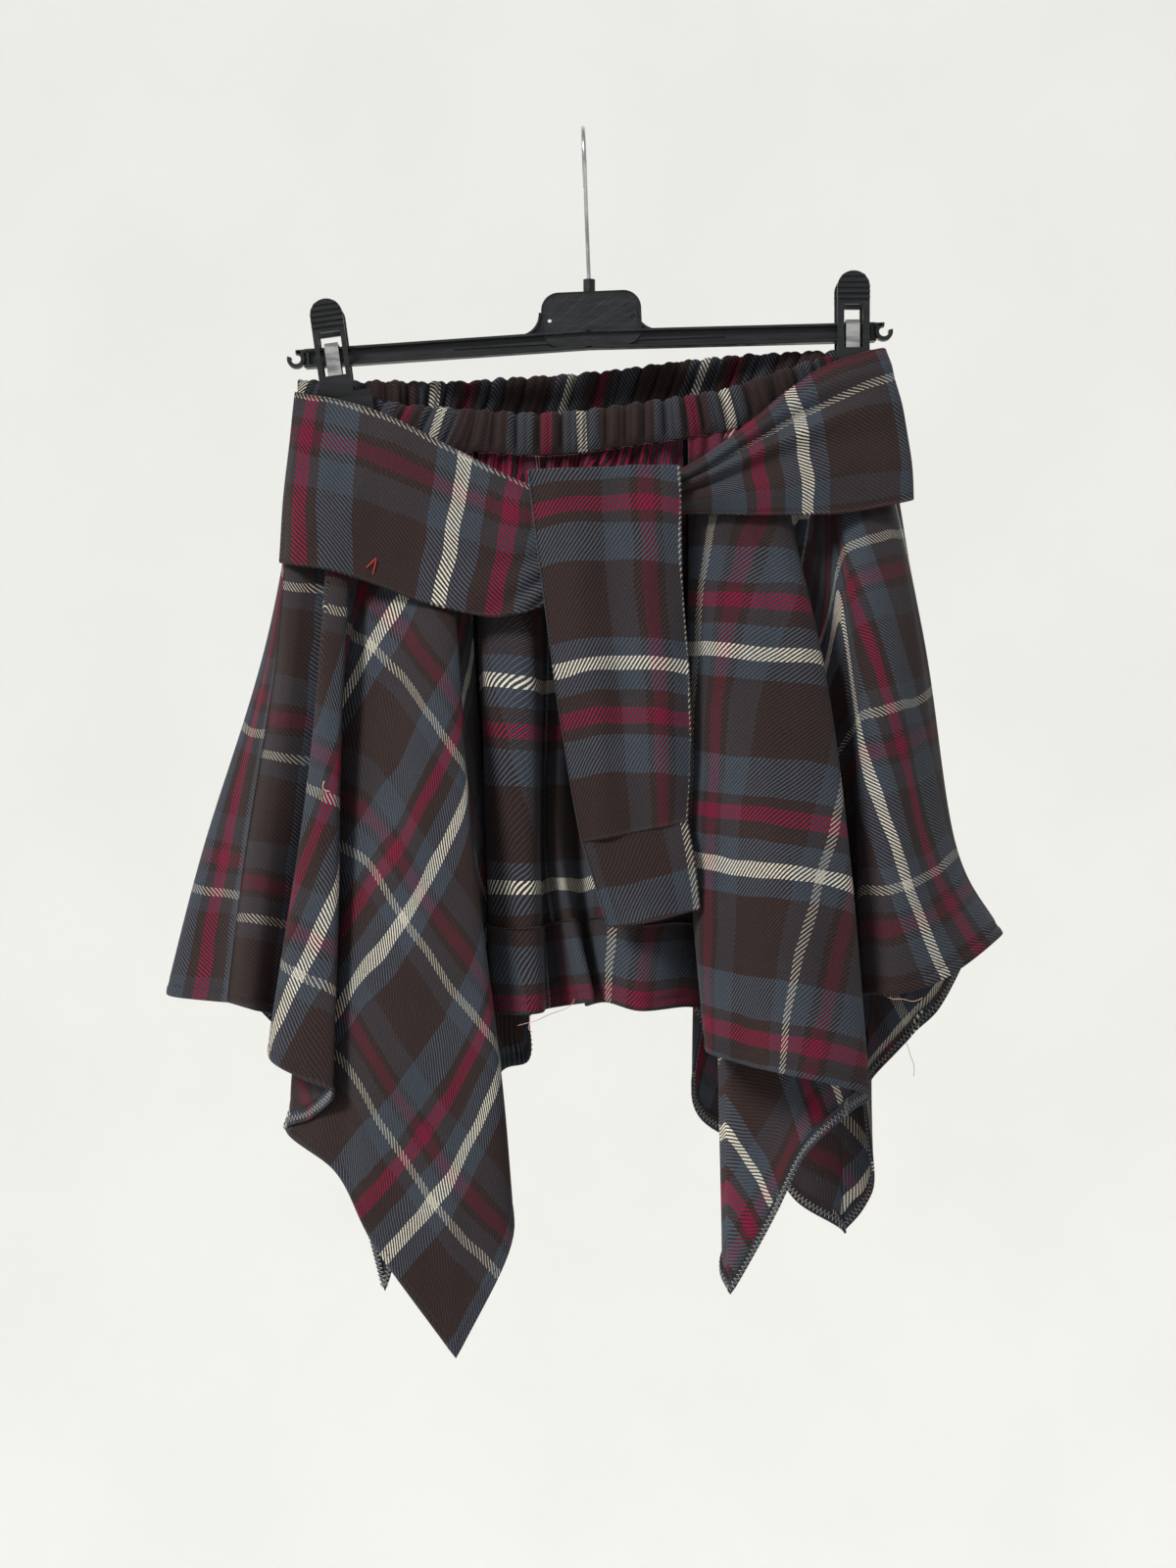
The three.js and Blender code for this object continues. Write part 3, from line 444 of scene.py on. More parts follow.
def at_height(grid, values, heights):
    """Points of each line at given lengths above its lower end, and values that go with them."""
    fall = run_of(grid, 1)
    up = fall[:, -1:] - fall
    places = np.zeros((grid.shape[0], len(heights), 3))
    carried = np.zeros((grid.shape[0], len(heights), values.shape[2]))
    for row in range(grid.shape[0]):
        level = up[row][::-1]
        for k in range(3):
            places[row, :, k] = np.interp(heights, level, grid[row, ::-1, k])
        for k in range(values.shape[2]):
            carried[row, :, k] = np.interp(heights, level, values[row, ::-1, k])
    return places, carried


def with_turned_hem(grid, flat, side, depth=TURN_UP, gap=TURN_GAP):
    """Folds the lower edge up on the wrong side, as a narrow machine-sewn hem."""
    out = normals_of(grid, side)[:, -1]
    down = unit(grid[:, -1] - grid[:, -2])
    radius = gap / 2
    hem = grid[:, -1]
    turn = []
    for step in range(1, WALL_GAP_TURNS + 1):
        angle = math.pi * step / WALL_GAP_TURNS
        turn.append(hem + radius * (math.cos(angle) - 1) * out + radius * math.sin(angle) * down)
    heights = np.array([0.25, 0.6, 1.0]) * depth
    above, _ = at_height(grid, flat, heights)
    back = above - 2 * radius * out[:, None, :]
    down_flat = unit(flat[:, -1] - flat[:, -2])
    runs = [radius * math.pi * step / WALL_GAP_TURNS for step in range(1, WALL_GAP_TURNS + 1)]
    runs += [radius * math.pi + height for height in heights]
    more = np.stack([flat[:, -1] + run * down_flat for run in runs], axis=1)
    return (np.concatenate([grid, np.stack(turn, axis=1), back], axis=1),
            np.concatenate([flat, more], axis=1))


def edge_rows(grid, out, half, axis, at_end):
    """The rounded rim between the outer and inner faces along one edge of a grid."""
    pick = -1 if at_end else 0
    beside = -2 if at_end else 1
    edge = np.take(grid, pick, axis=axis)
    away = unit(edge - np.take(grid, beside, axis=axis))
    face = np.take(out, pick, axis=axis)
    rim = []
    for step in range(1, RIM_STEPS):
        angle = math.pi * step / RIM_STEPS
        rim.append(edge + half * (math.cos(angle) * face + math.sin(angle) * away))
    return rim


def make_mesh(name, points, quads, maps, face_slots, materials, worn=None, creased=None, smooth_faces=True):
    """A mesh object in metres from points in millimetres; maps is the cloth place of each point."""
    mesh = bpy.data.meshes.new(name)
    mesh.from_pydata((np.array(points) * MM).tolist(), [], quads)
    layer = mesh.uv_layers.new(name="cloth")
    loops = np.zeros(len(mesh.loops), int)
    mesh.loops.foreach_get("vertex_index", loops)
    layer.data.foreach_set("uv", np.asarray(maps, float)[loops].ravel())
    for material in materials:
        mesh.materials.append(material)
    if face_slots is not None:
        mesh.polygons.foreach_set("material_index", np.asarray(face_slots, int))
    mesh.polygons.foreach_set("use_smooth", [smooth_faces] * len(mesh.polygons))
    if worn is not None:
        mesh.attributes.new("worn", "FLOAT", "POINT").data.foreach_set("value", np.asarray(worn, float))
    # painted shade for the gather valleys, kept on the mesh for the plaid material
    if creased is not None:
        crease_shade_values = mesh.attributes.new("creased", "FLOAT", "POINT").data
        crease_shade_values.foreach_set("value", np.asarray(creased, float))
    mesh.validate()
    mesh.update()
    piece = bpy.data.objects.new(name, mesh)
    scene.collection.objects.link(piece)
    return piece


def cloth_wall(name, grid, maps, side, thickness, materials, worn=None):
    """A cloth piece with an outer face, a wrong side and rounded rims all round."""
    half = thickness / 2
    out = normals_of(grid, side)
    rows, columns = grid.shape[:2]
    points = [grid + half * out, grid - half * out]
    total = rows * columns
    index = np.arange(total).reshape(rows, columns)
    outer, inner = index, index + total
    flat_points = [points[0].reshape(-1, 3), points[1].reshape(-1, 3)]
    flat_maps = [maps.reshape(-1, 2), maps.reshape(-1, 2)]
    wear = np.zeros((rows, columns)) if worn is None else worn
    flat_worn = [wear.ravel(), wear.ravel()]
    quads = []
    slots = []

    def add_faces(a, b, c, d, flip, slot):
        block = np.stack([a, b, c, d], axis=-1).reshape(-1, 4)
        if flip:
            block = block[:, ::-1]
        quads.append(block)
        slots.extend([slot] * len(block))

    corners = (index[:-1, :-1], index[1:, :-1], index[1:, 1:], index[:-1, 1:])
    add_faces(*corners, side < 0, 0)
    add_faces(*(c + total for c in corners), side > 0, 1)
    made = 2 * total
    for axis in (0, 1):
        for at_end in (False, True):
            pick = -1 if at_end else 0
            rim = edge_rows(grid, out, half, axis, at_end)
            length = rim[0].shape[0]
            chain = [np.take(outer, pick, axis=axis)]
            edge_map = np.take(maps, pick, axis=axis)
            for line in rim:
                flat_points.append(line)
                flat_maps.append(edge_map)
                flat_worn.append(np.ones(length))
                chain.append(np.arange(made, made + length))
                made += length
            chain.append(np.take(inner, pick, axis=axis))
            flip = (side < 0) ^ (axis == 1) ^ at_end
            for first, second in zip(chain[:-1], chain[1:]):
                add_faces(first[:-1], first[1:], second[1:], second[:-1], not flip, 0)
    piece = make_mesh(name, np.concatenate(flat_points), np.concatenate(quads).tolist(),
                      np.concatenate(flat_maps), slots, materials, np.concatenate(flat_worn))
    close_corners(piece)
    return piece


def close_corners(piece):
    """Fills the four small holes where two rims meet."""
    import bmesh
    work = bmesh.new()
    work.from_mesh(piece.data)
    open_edges = [edge for edge in work.edges if edge.is_boundary]
    if open_edges:
        bmesh.ops.holes_fill(work, edges=open_edges, sides=2 * RIM_STEPS + 4)
    work.to_mesh(piece.data)
    work.free()


def edge_wear(grid, reach=2.0):
    """How near each point is to the lower edge of its cloth, from 0 to 1."""
    fall = run_of(grid, 1)
    up = fall[:, -1:] - fall
    return 1 - smooth(0, reach, up)


def wrinkled(grid, side, waves, seed, top=None, bottom=None):
    """Adds fine irregular wrinkles, fading in below the top and out above the lower edge."""
    along = run_of(grid, 0)
    along = np.repeat(along[:, along.shape[1] * 2 // 3][:, None], grid.shape[1], axis=1)
    fall = run_of(grid, 1)
    high = ripple(along, fall, waves, seed)
    if top:
        high *= smooth(0, top, fall)
    if bottom:
        high *= smooth(0, bottom, fall[:, -1:] - fall)
    return grid + high[..., None] * normals_of(grid, side)


def gathered(grid, side, pitch, high, fade, seed):
    """Small gathers under the waist seam that spread out as the cloth falls."""
    rng = np.random.default_rng(seed)
    seam = run_of(grid, 0)[:, 0]
    fall = run_of(grid, 1)
    count = max(3, int(seam[-1] / pitch))
    centres = (np.arange(count + 1) + rng.uniform(-0.28, 0.28, count + 1)) * seam[-1] / count
    phase = np.interp(seam, np.sort(centres), range(count + 1))
    reach = np.interp(seam, centres, rng.uniform(0.6, 1.5, count + 1)) * fade
    wave = np.cos(2 * math.pi * phase)[:, None] * np.exp(-(fall / reach[:, None]) ** 1.3)
    sides = smooth(0, 4, np.minimum(seam, seam[-1] - seam))[:, None]
    spread = np.exp(-(fall / reach[:, None]) ** 1.3)
    return grid + (high * (wave + 0.75 * spread) * sides)[..., None] * normals_of(grid, side)


# ---- finishes ----
SETT_H = [("white", 8.2), ("slate", 12.0), ("brown", 10.0), ("red", 9.4), ("brown", 6.5),
          ("slate", 22.4), ("brown", 46.8), ("slate", 11.7)]
SETT_V = [("white", 5.2), ("slate", 10.0), ("brown", 4.7), ("red", 8.5), ("brown", 4.7),
          ("slate", 16.5), ("brown", 39.5), ("slate", 10.4)]
YARN = {"white": (0.70, 0.66, 0.56), "slate": (0.068, 0.081, 0.105),
        "brown": (0.047, 0.028, 0.026), "red": (0.22, 0.012, 0.044)}
TWILL_V = 2.5  # millimetres from one twill line to the next, across the cloth
TWILL_H = 3.4  # and along it
YARN_STEP = 0.68


class Recipe:
    """A node material, with short ways to add its nodes."""

    def __init__(self, name, roughness, **sockets):
        self.material = bpy.data.materials.new(name)
        self.material.use_nodes = True
        self.tree = self.material.node_tree
        self.tree.nodes.clear()
        self.shader = self.node("ShaderNodeBsdfPrincipled")
        output = self.node("ShaderNodeOutputMaterial")
        self.tree.links.new(self.shader.outputs["BSDF"], output.inputs["Surface"])
        self.shader.inputs["Roughness"].default_value = roughness
        for socket, value in sockets.items():
            self.shader.inputs[socket.replace("_", " ")].default_value = value

    def node(self, kind, **settings):
        node = self.tree.nodes.new(kind)
        for key, value in settings.items():
            setattr(node, key, value)
        return node

    def feed(self, socket, value):
        if isinstance(value, bpy.types.NodeSocket):
            self.tree.links.new(value, socket)
        else:
            socket.default_value = value

    def math(self, operation, *values, clamp=False):
        node = self.node("ShaderNodeMath", operation=operation, use_clamp=clamp)
        for socket, value in zip(node.inputs, values):
            self.feed(socket, value)
        return node.outputs[0]

    def between(self, value, low, high, to_low=0.0, to_high=1.0):
        node = self.node("ShaderNodeMapRange", interpolation_type="SMOOTHSTEP")
        for socket, number in zip(node.inputs, (value, low, high, to_low, to_high)):
            self.feed(socket, number)
        return node.outputs[0]

    def blend(self, share, first, second, how="MIX"):
        node = self.node("ShaderNodeMix", data_type="RGBA", blend_type=how)
        self.feed(node.inputs[0], share)
        self.feed(node.inputs[6], first)
        self.feed(node.inputs[7], second)
        return node.outputs[2]

    def noise(self, vector, scale, detail=2.0, roughness=0.5):
        node = self.node("ShaderNodeTexNoise")
        self.feed(node.inputs["Vector"], vector)
        node.inputs["Scale"].default_value = scale
        node.inputs["Detail"].default_value = detail
        node.inputs["Roughness"].default_value = roughness
        return node.outputs[0], node.outputs[1]

    def vector(self, x, y, z=0.0):
        node = self.node("ShaderNodeCombineXYZ")
        for socket, value in zip(node.inputs, (x, y, z)):
            self.feed(socket, value)
        return node.outputs[0]

    def parts(self, vector):
        node = self.node("ShaderNodeSeparateXYZ")
        self.feed(node.inputs[0], vector)
        return node.outputs

    def cloth_place(self):
        return self.node("ShaderNodeUVMap", uv_map="cloth").outputs[0]

    def object_place(self):
        return self.node("ShaderNodeTexCoord").outputs["Object"]

    def stripes(self, place, sett):
        """The yarn colour at a place in millimetres along one direction of the plaid."""
        period = sum(width for _, width in sett)
        share = self.math("FRACT", self.math("DIVIDE", place, period))
        node = self.node("ShaderNodeValToRGB")
        ramp = node.color_ramp
        ramp.interpolation = "CONSTANT"
        start = 0.0
        for i, (yarn, width) in enumerate(sett):
            stop = ramp.elements[i] if i < 2 else ramp.elements.new(start / period)
            stop.position = start / period
            stop.color = (*YARN[yarn], 1)
            start += width
        self.feed(node.inputs[0], share)
        return node.outputs[0]

    def finish(self, colour, height=None, distance=0.0001, strength=0.6):
        self.feed(self.shader.inputs["Base Color"], colour)
        if height is not None:
            bump = self.node("ShaderNodeBump")
            bump.inputs["Strength"].default_value = strength
            bump.inputs["Distance"].default_value = distance
            self.feed(bump.inputs["Height"], height)
            self.feed(self.shader.inputs["Normal"], bump.outputs[0])
        return self.material


def plaid_twill(name, share, depth, heather, dust):
    """Brushed twill: share is how much of the face the bright direction's yarn covers."""
    make = Recipe(name, 0.92, Specular_IOR_Level=0.2, Sheen_Weight=0.06, Sheen_Roughness=0.5)
    cloth = make.cloth_place()
    drift = make.noise(cloth, 0.03, 1.0)[1]
    drift_v, drift_h, _ = make.parts(drift)
    v, h, _ = make.parts(cloth)
    v = make.math("ADD", v, make.math("MULTIPLY", make.math("SUBTRACT", drift_v, 0.5), 5.0))
    h = make.math("ADD", h, make.math("MULTIPLY", make.math("SUBTRACT", drift_h, 0.5), 5.0))
    across = make.stripes(h, SETT_H)
    along = make.stripes(v, SETT_V)
    jitter = make.math("MULTIPLY", make.noise(cloth, 0.9, 2.0)[0], 0.22)
    line = make.math("SUBTRACT", make.math("DIVIDE", v, TWILL_V), make.math("DIVIDE", h, TWILL_H))
    line = make.math("ADD", line, jitter)
    wave = make.math("COSINE", make.math("MULTIPLY", line, 2 * math.pi))
    edge = math.cos(math.pi * share)
    over = make.between(wave, edge - 0.16, edge + 0.16)
    colour = make.blend(over, along, across)
    # painted shade: the gaps between twill ribs and the ends of each yarn float are darkened in the colour,
    # as deep as depth says; the fibre and patch noise below are the cloth's own tone
    gap = make.math("ABSOLUTE", make.math("SUBTRACT", wave, edge))
    gap = make.between(gap, 0.02, 1.0)
    floats = make.math("ABSOLUTE", make.math("SUBTRACT",
                       make.math("FRACT", make.math("DIVIDE", h, YARN_STEP)), 0.5))
    painted_shade_and_tone = make.math("MULTIPLY_ADD", gap, depth, 1 - depth)
    painted_shade_and_tone = make.math("MULTIPLY", painted_shade_and_tone, make.math("MULTIPLY_ADD", floats, -0.2, 1.05))
    fibre = make.noise(cloth, 2.1, 3.0, 0.7)[0]
    painted_shade_and_tone = make.math("MULTIPLY", painted_shade_and_tone, make.between(fibre, 0.25, 0.75, 1 - heather, 1 + heather))
    patch = make.noise(cloth, 0.018, 3.0)[0]
    painted_shade_and_tone = make.math("MULTIPLY", painted_shade_and_tone, make.between(patch, 0.3, 0.7, 0.93, 1.07))
    colour = make.blend(1.0, colour, make.vector(painted_shade_and_tone, painted_shade_and_tone, painted_shade_and_tone), "MULTIPLY")
    fuzz = make.between(make.noise(cloth, 0.55, 4.0, 0.8)[0], 0.52, 0.8, 0.0, dust)
    worn = make.node("ShaderNodeAttribute", attribute_name="worn").outputs["Fac"]
    fuzz = make.math("ADD", fuzz, make.math("MULTIPLY", worn, 0.03))
    colour = make.blend(fuzz, colour, (0.22, 0.21, 0.21, 1))
    # painted shade: the colour is darkened where the waistband's gathers fold in, by the amount kept on the
    # mesh
    creased = make.node("ShaderNodeAttribute", attribute_name="creased").outputs["Fac"]
    crease_shade_factor = make.math("MULTIPLY_ADD", creased, -0.6, 1.0)
    colour = make.blend(1.0, colour, make.vector(crease_shade_factor, crease_shade_factor, crease_shade_factor), "MULTIPLY")
    height = make.math("ADD", gap, make.math("MULTIPLY", floats, -0.35))
    return make.finish(colour, height, 0.00018, 0.8)


def black_jersey():
    make = Recipe("black_jersey", 0.85, Specular_IOR_Level=0.25, Sheen_Weight=0.2,
                  Sheen_Roughness=0.5)
    cloth = make.cloth_place()
    v, h, _ = make.parts(cloth)
    loop = make.math("ABSOLUTE", make.math("SINE", make.math("MULTIPLY", v, math.pi / 0.9)))
    rise = make.math("SINE", make.math("MULTIPLY_ADD", h, 2 * math.pi / 1.1,
                                       make.math("MULTIPLY", loop, 1.6)))
    knit = make.math("MULTIPLY_ADD", rise, 0.25, make.math("MULTIPLY", loop, 0.75))
    fibre = make.noise(cloth, 1.4, 3.0, 0.7)[0]
    tone = make.math("MULTIPLY", make.between(knit, 0.0, 1.0, 0.5, 1.2),
                     make.between(fibre, 0.2, 0.8, 0.7, 1.4))
    tone = make.math("MULTIPLY", tone, 0.0085)
    return make.finish(make.vector(tone, tone, make.math("MULTIPLY", tone, 1.1)), knit, 0.0002, 0.6)


def moulded_plastic():
    """Black hanger plastic: satin, faintly flowed, with fine scuffs and a swirled centre plate."""
    make = Recipe("black_hanger_plastic", 0.42, Specular_IOR_Level=0.45)
    place = make.object_place()
    x, y, z = make.parts(place)
    from_left = make.math("SUBTRACT", x, -0.050)
    from_low = make.math("SUBTRACT", z, -0.150)
    radius = make.math("SQRT", make.math("ADD", make.math("MULTIPLY", from_left, from_left),
                                         make.math("MULTIPLY", from_low, from_low)))
    angle = make.math("ARCTAN2", from_low, from_left)
    swirl_place = make.vector(make.math("MULTIPLY", radius, 14.0), make.math("MULTIPLY", angle, 34.0), y)
    swirl = make.noise(swirl_place, 1.6, 3.0, 0.7)[0]
    beside = make.math("ABSOLUTE", make.math("SUBTRACT", x, 0.0052))
    level = make.math("ABSOLUTE", make.math("SUBTRACT", z, -0.1165))
    plate = make.math("MULTIPLY", make.between(beside, 0.026, 0.030, 1.0, 0.0),
                      make.between(level, 0.013, 0.0155, 1.0, 0.0))
    grain = make.noise(place, 2600.0, 3.0, 0.6)[0]
    flow = make.noise(make.vector(make.math("MULTIPLY", x, 0.12), y, z), 420.0, 4.0, 0.6)[0]
    scuff = make.between(make.noise(make.vector(make.math("MULTIPLY", x, 0.2), y, z), 900.0, 4.0, 0.7)[0],
                         0.58, 0.72)
    streak = make.math("MULTIPLY", plate, make.between(swirl, 0.42, 0.66))
    tone = make.math("ADD", make.math("MULTIPLY", scuff, 0.012), make.math("MULTIPLY", streak, 0.016))
    tone = make.math("ADD", tone, make.between(flow, 0.3, 0.7, 0.008, 0.013))
    colour = make.vector(tone, make.math("MULTIPLY", tone, 1.12), make.math("MULTIPLY", tone, 1.25))
    rough = make.math("ADD", make.between(flow, 0.3, 0.7, 0.34, 0.48), make.math("MULTIPLY", streak, -0.1))
    make.feed(make.shader.inputs["Roughness"], rough)
    height = make.math("ADD", make.math("MULTIPLY", grain, 0.3),
                       make.math("ADD", make.math("MULTIPLY", streak, 0.6),
                                 make.math("MULTIPLY", flow, 0.5)))
    return make.finish(colour, height, 0.00012, 0.45)


def bright_steel():
    make = Recipe("bright_steel", 0.22, Metallic=1.0)
    place = make.object_place()
    x, y, z = make.parts(place)
    drawn = make.noise(make.vector(x, y, make.math("MULTIPLY", z, 0.06)), 2400.0, 3.0, 0.6)[0]
    cloud = make.noise(place, 60.0, 3.0, 0.6)[0]
    tone = make.math("MULTIPLY", make.between(drawn, 0.3, 0.7, 0.86, 1.04),
                     make.between(cloud, 0.3, 0.7, 0.56, 0.68))
    make.feed(make.shader.inputs["Roughness"], make.between(cloud, 0.3, 0.7, 0.18, 0.32))
    return make.finish(make.vector(tone, make.math("MULTIPLY", tone, 0.99),
                                   make.math("MULTIPLY", tone, 0.97)),
                       drawn, 0.00005, 0.4)


def spring_steel():
    """Polished bent strip: bright, with painted reflection: soft darker bands painted across it where it
    curves away.
    """
    make = Recipe("clip_spring_steel", 0.2, Metallic=1.0)
    place = make.object_place()
    x, y, z = make.parts(place)
    painted_reflection_bands = make.noise(make.vector(make.math("MULTIPLY", x, 0.2), y, z), 150.0, 2.0, 0.5)[0]
    drawn = make.noise(make.vector(make.math("MULTIPLY", x, 6.0), y, z), 500.0, 2.0, 0.5)[0]
    # painted reflection: the bands lighten and darken the steel's colour
    tone = make.math("MULTIPLY", make.between(painted_reflection_bands, 0.35, 0.62, 0.45, 0.97),
                     make.between(drawn, 0.3, 0.7, 0.92, 1.03))
    make.feed(make.shader.inputs["Roughness"], make.between(drawn, 0.3, 0.7, 0.16, 0.26))
    return make.finish(make.vector(tone, make.math("MULTIPLY", tone, 0.98),
                                   make.math("MULTIPLY", tone, 0.94)),
                       painted_reflection_bands, 0.0002, 0.5)


def thread(name, colour):
    make = Recipe(name, 0.7, Specular_IOR_Level=0.3, Sheen_Weight=0.2, Sheen_Roughness=0.4)
    place = make.object_place()
    ply = make.noise(place, 1800.0, 2.0, 0.6)[0]
    tone = make.between(ply, 0.3, 0.7, 0.65, 1.2)
    shaded = make.blend(1.0, (*colour, 1), make.vector(tone, tone, tone), "MULTIPLY")
    return make.finish(shaded, ply, 0.0001, 0.5)


PLAID = plaid_twill("plaid_twill_face", 0.60, 0.92, 0.42, 0.08)
PLAID_BACK = plaid_twill("plaid_twill_wrong_side", 0.34, 0.5, 0.3, 0.16)
JERSEY = black_jersey()
PLASTIC = moulded_plastic()
STEEL = bright_steel()
SPRING = spring_steel()
DARK_THREAD = thread("dark_hem_thread", (0.02, 0.02, 0.024))
GREY_THREAD = thread("pale_overlock_thread", (0.42, 0.42, 0.42))
RED_THREAD = thread("orange_red_thread", (0.62, 0.05, 0.03))
PINK_THREAD = thread("pink_thread", (0.75, 0.42, 0.38))


# ---- the skirt ----
FACES = (PLAID, PLAID_BACK)
STITCH_RISE = 6.3  # hem stitching above the lower edge
OVERLOCK_RISE = 2.9  # and the overlocked raw edge on the wrong side
SEAM_DROP = 22.6  # seam stitching below the top of the waistband
SEAM_LIFT = 2.1
SEAT_CUT = (0.58, 0.15)
LEG_CUT = (0.30, 0.097)
SEAM_FADE = 90  # folds die out this far from a side seam
SHEETS = {}


def flat_area(flat):
    """Area in square metres of the flat cloth that a grid covers."""
    a = flat[1:, 1:] - flat[:-1, :-1]
    b = flat[1:, :-1] - flat[:-1, 1:]
    return float(np.abs(a[..., 0] * b[..., 1] - a[..., 1] * b[..., 0]).sum() / 2) * MM * MM


def note_sheet(piece, flat, held, rests_on):
    width = float(np.ptp(flat[..., 0])) * MM
    length = float(np.ptp(flat[..., 1])) * MM
    area = min(max(flat_area(flat), 0.31 * width * length), width * length)
    SHEETS[piece.name] = (piece, width, length, area, held, rests_on)


def hem_groove(grid, side):
    """Draws the cloth in along the hem stitching and lets it puff a little below."""
    fall = run_of(grid, 1)
    up = fall[:, -1:] - fall
    drawn = -0.55 * np.exp(-((up - STITCH_RISE) / 1.6) ** 2) + 0.3 * np.exp(-((up - 2.6) / 1.8) ** 2)
    return grid + drawn[..., None] * normals_of(grid, side)


def skirt_piece(name, table, band, side, fine, down, seed, carries, flutes=None, **place):
    grid, flat = skirt_grid(table, band, side, fine, down, **place)
    if flutes:
        folded = wrinkled(grid, side, flutes, seed + 3, top=150)
        along = run_of(grid, 0)
        kept = smooth(0, SEAM_FADE, along) * smooth(0, SEAM_FADE, along[-1:] - along)
        grid = grid + kept[..., None] * (folded - grid)
    grid = wrinkled(grid, side, [(70, 260, 1.6), (28, 120, 0.6)], seed, top=40, bottom=5)
    grid = wrinkled(grid, side, [(42, 500, 0.5)], seed + 1)
    grid = gathered(grid, side, 9.5, 1.9, 30, seed + 2)
    grid = hem_groove(grid, side)
    hemmed, cloth = with_turned_hem(grid, flat, side)
    piece = cloth_wall(name, hemmed, woven(name, cloth), side, TWILL, FACES, edge_wear(hemmed, 1.2))
    note_sheet(piece, cloth, "gathered", carries)
    return piece, grid


left_drape, left_grid = skirt_piece(
    "left_drape", SKIRT_LEFT, BAND_FRONT, -1, 12, 84, 11, ["front_waistband"], ease=1.04,
    level=(125, 215), strip=168, slack=0.075)
right_drape, right_grid = skirt_piece(
    "right_drape", SKIRT_RIGHT, BAND_FRONT, -1, 12, 84, 23, ["front_waistband"], middle=(50, 0),
    level=(385, 500), kept_level=0.42, strip=127)
back_panel, back_grid = skirt_piece(
    "back_panel", SKIRT_BACK, BAND_BACK, 1, 12, 72, 37, ["back_waistband"],
    flutes=[(50, 900, 7.0)], level=(-150, -260))

# the centre front ends in a separate hem band, laid the other way up
HEM_BAND = 47.0
BAND_LAP = 3.0


def front_panel_and_band():
    grid, flat = skirt_grid(SKIRT_FRONT, BAND_FRONT, -1, 12, 80, ease=1.04, strip=221)
    fall = run_of(grid, 1)
    grid = wrinkled(grid, -1, [(60, 260, 1.2), (26, 120, 0.5)], 41, top=40, bottom=5)
    grid = gathered(grid, -1, 10.5, 2.4, 34, 43)
    upper = list(np.linspace(float(fall[:, -1].min()) - 1, HEM_BAND, 66))
    panel, panel_flat = at_height(grid, flat, np.array(upper))
    panel[:, 0] = grid[:, 0]
    panel = panel - 0.5 * normals_of(panel, -1) * smooth(14, 4, np.array(upper) - HEM_BAND)[None, :, None]
    piece = cloth_wall("front_panel", panel, woven("front_panel", panel_flat), -1, TWILL, FACES)
    note_sheet(piece, panel_flat, "gathered", ["front_waistband"])
    heights = np.linspace(HEM_BAND + BAND_LAP, 0, 22)
    low, low_flat = at_height(grid, flat, heights)
    low = low + 0.6 * normals_of(low, -1)
    hemmed, cloth = with_turned_hem(low, low_flat, -1)
    band = cloth_wall("front_hem_band", hemmed, woven("front_hem_band", cloth), -1, TWILL, FACES,
                      edge_wear(hemmed, 1.2))
    note_sheet(band, cloth, "hung", ["front_panel"])
    return piece, band, low


front_panel, front_hem_band, front_low = front_panel_and_band()


# ---- waistband: a gathered casing over elastic ----
def gather_phase(x, seed, low=9.5, high=16.5):
    """Counts the gathers up to each x; a whole number is the top of one."""
    rng = np.random.default_rng(seed)
    centres = [-190.0]
    while centres[-1] < 200:
        centres.append(centres[-1] + rng.uniform(low, high))
    heights = rng.uniform(0.55, 1.15, len(centres))
    phase = np.interp(x, centres, range(len(centres)))
    return phase, np.interp(x, centres, heights)


CASING = [(1.3, -25.6), (2.0, -22.6), (2.2, -20), (2.5, -15), (2.5, -9), (2.2, -4.5), (1.5, -1.6),
          (0.7, -0.4), (0, 0), (-0.7, -0.4), (-1.5, -1.6), (-2.2, -4.5), (-2.5, -9), (-2.5, -15), (-2.2, -20),
          (-2.0, -22.6), (-1.3, -25.6)]


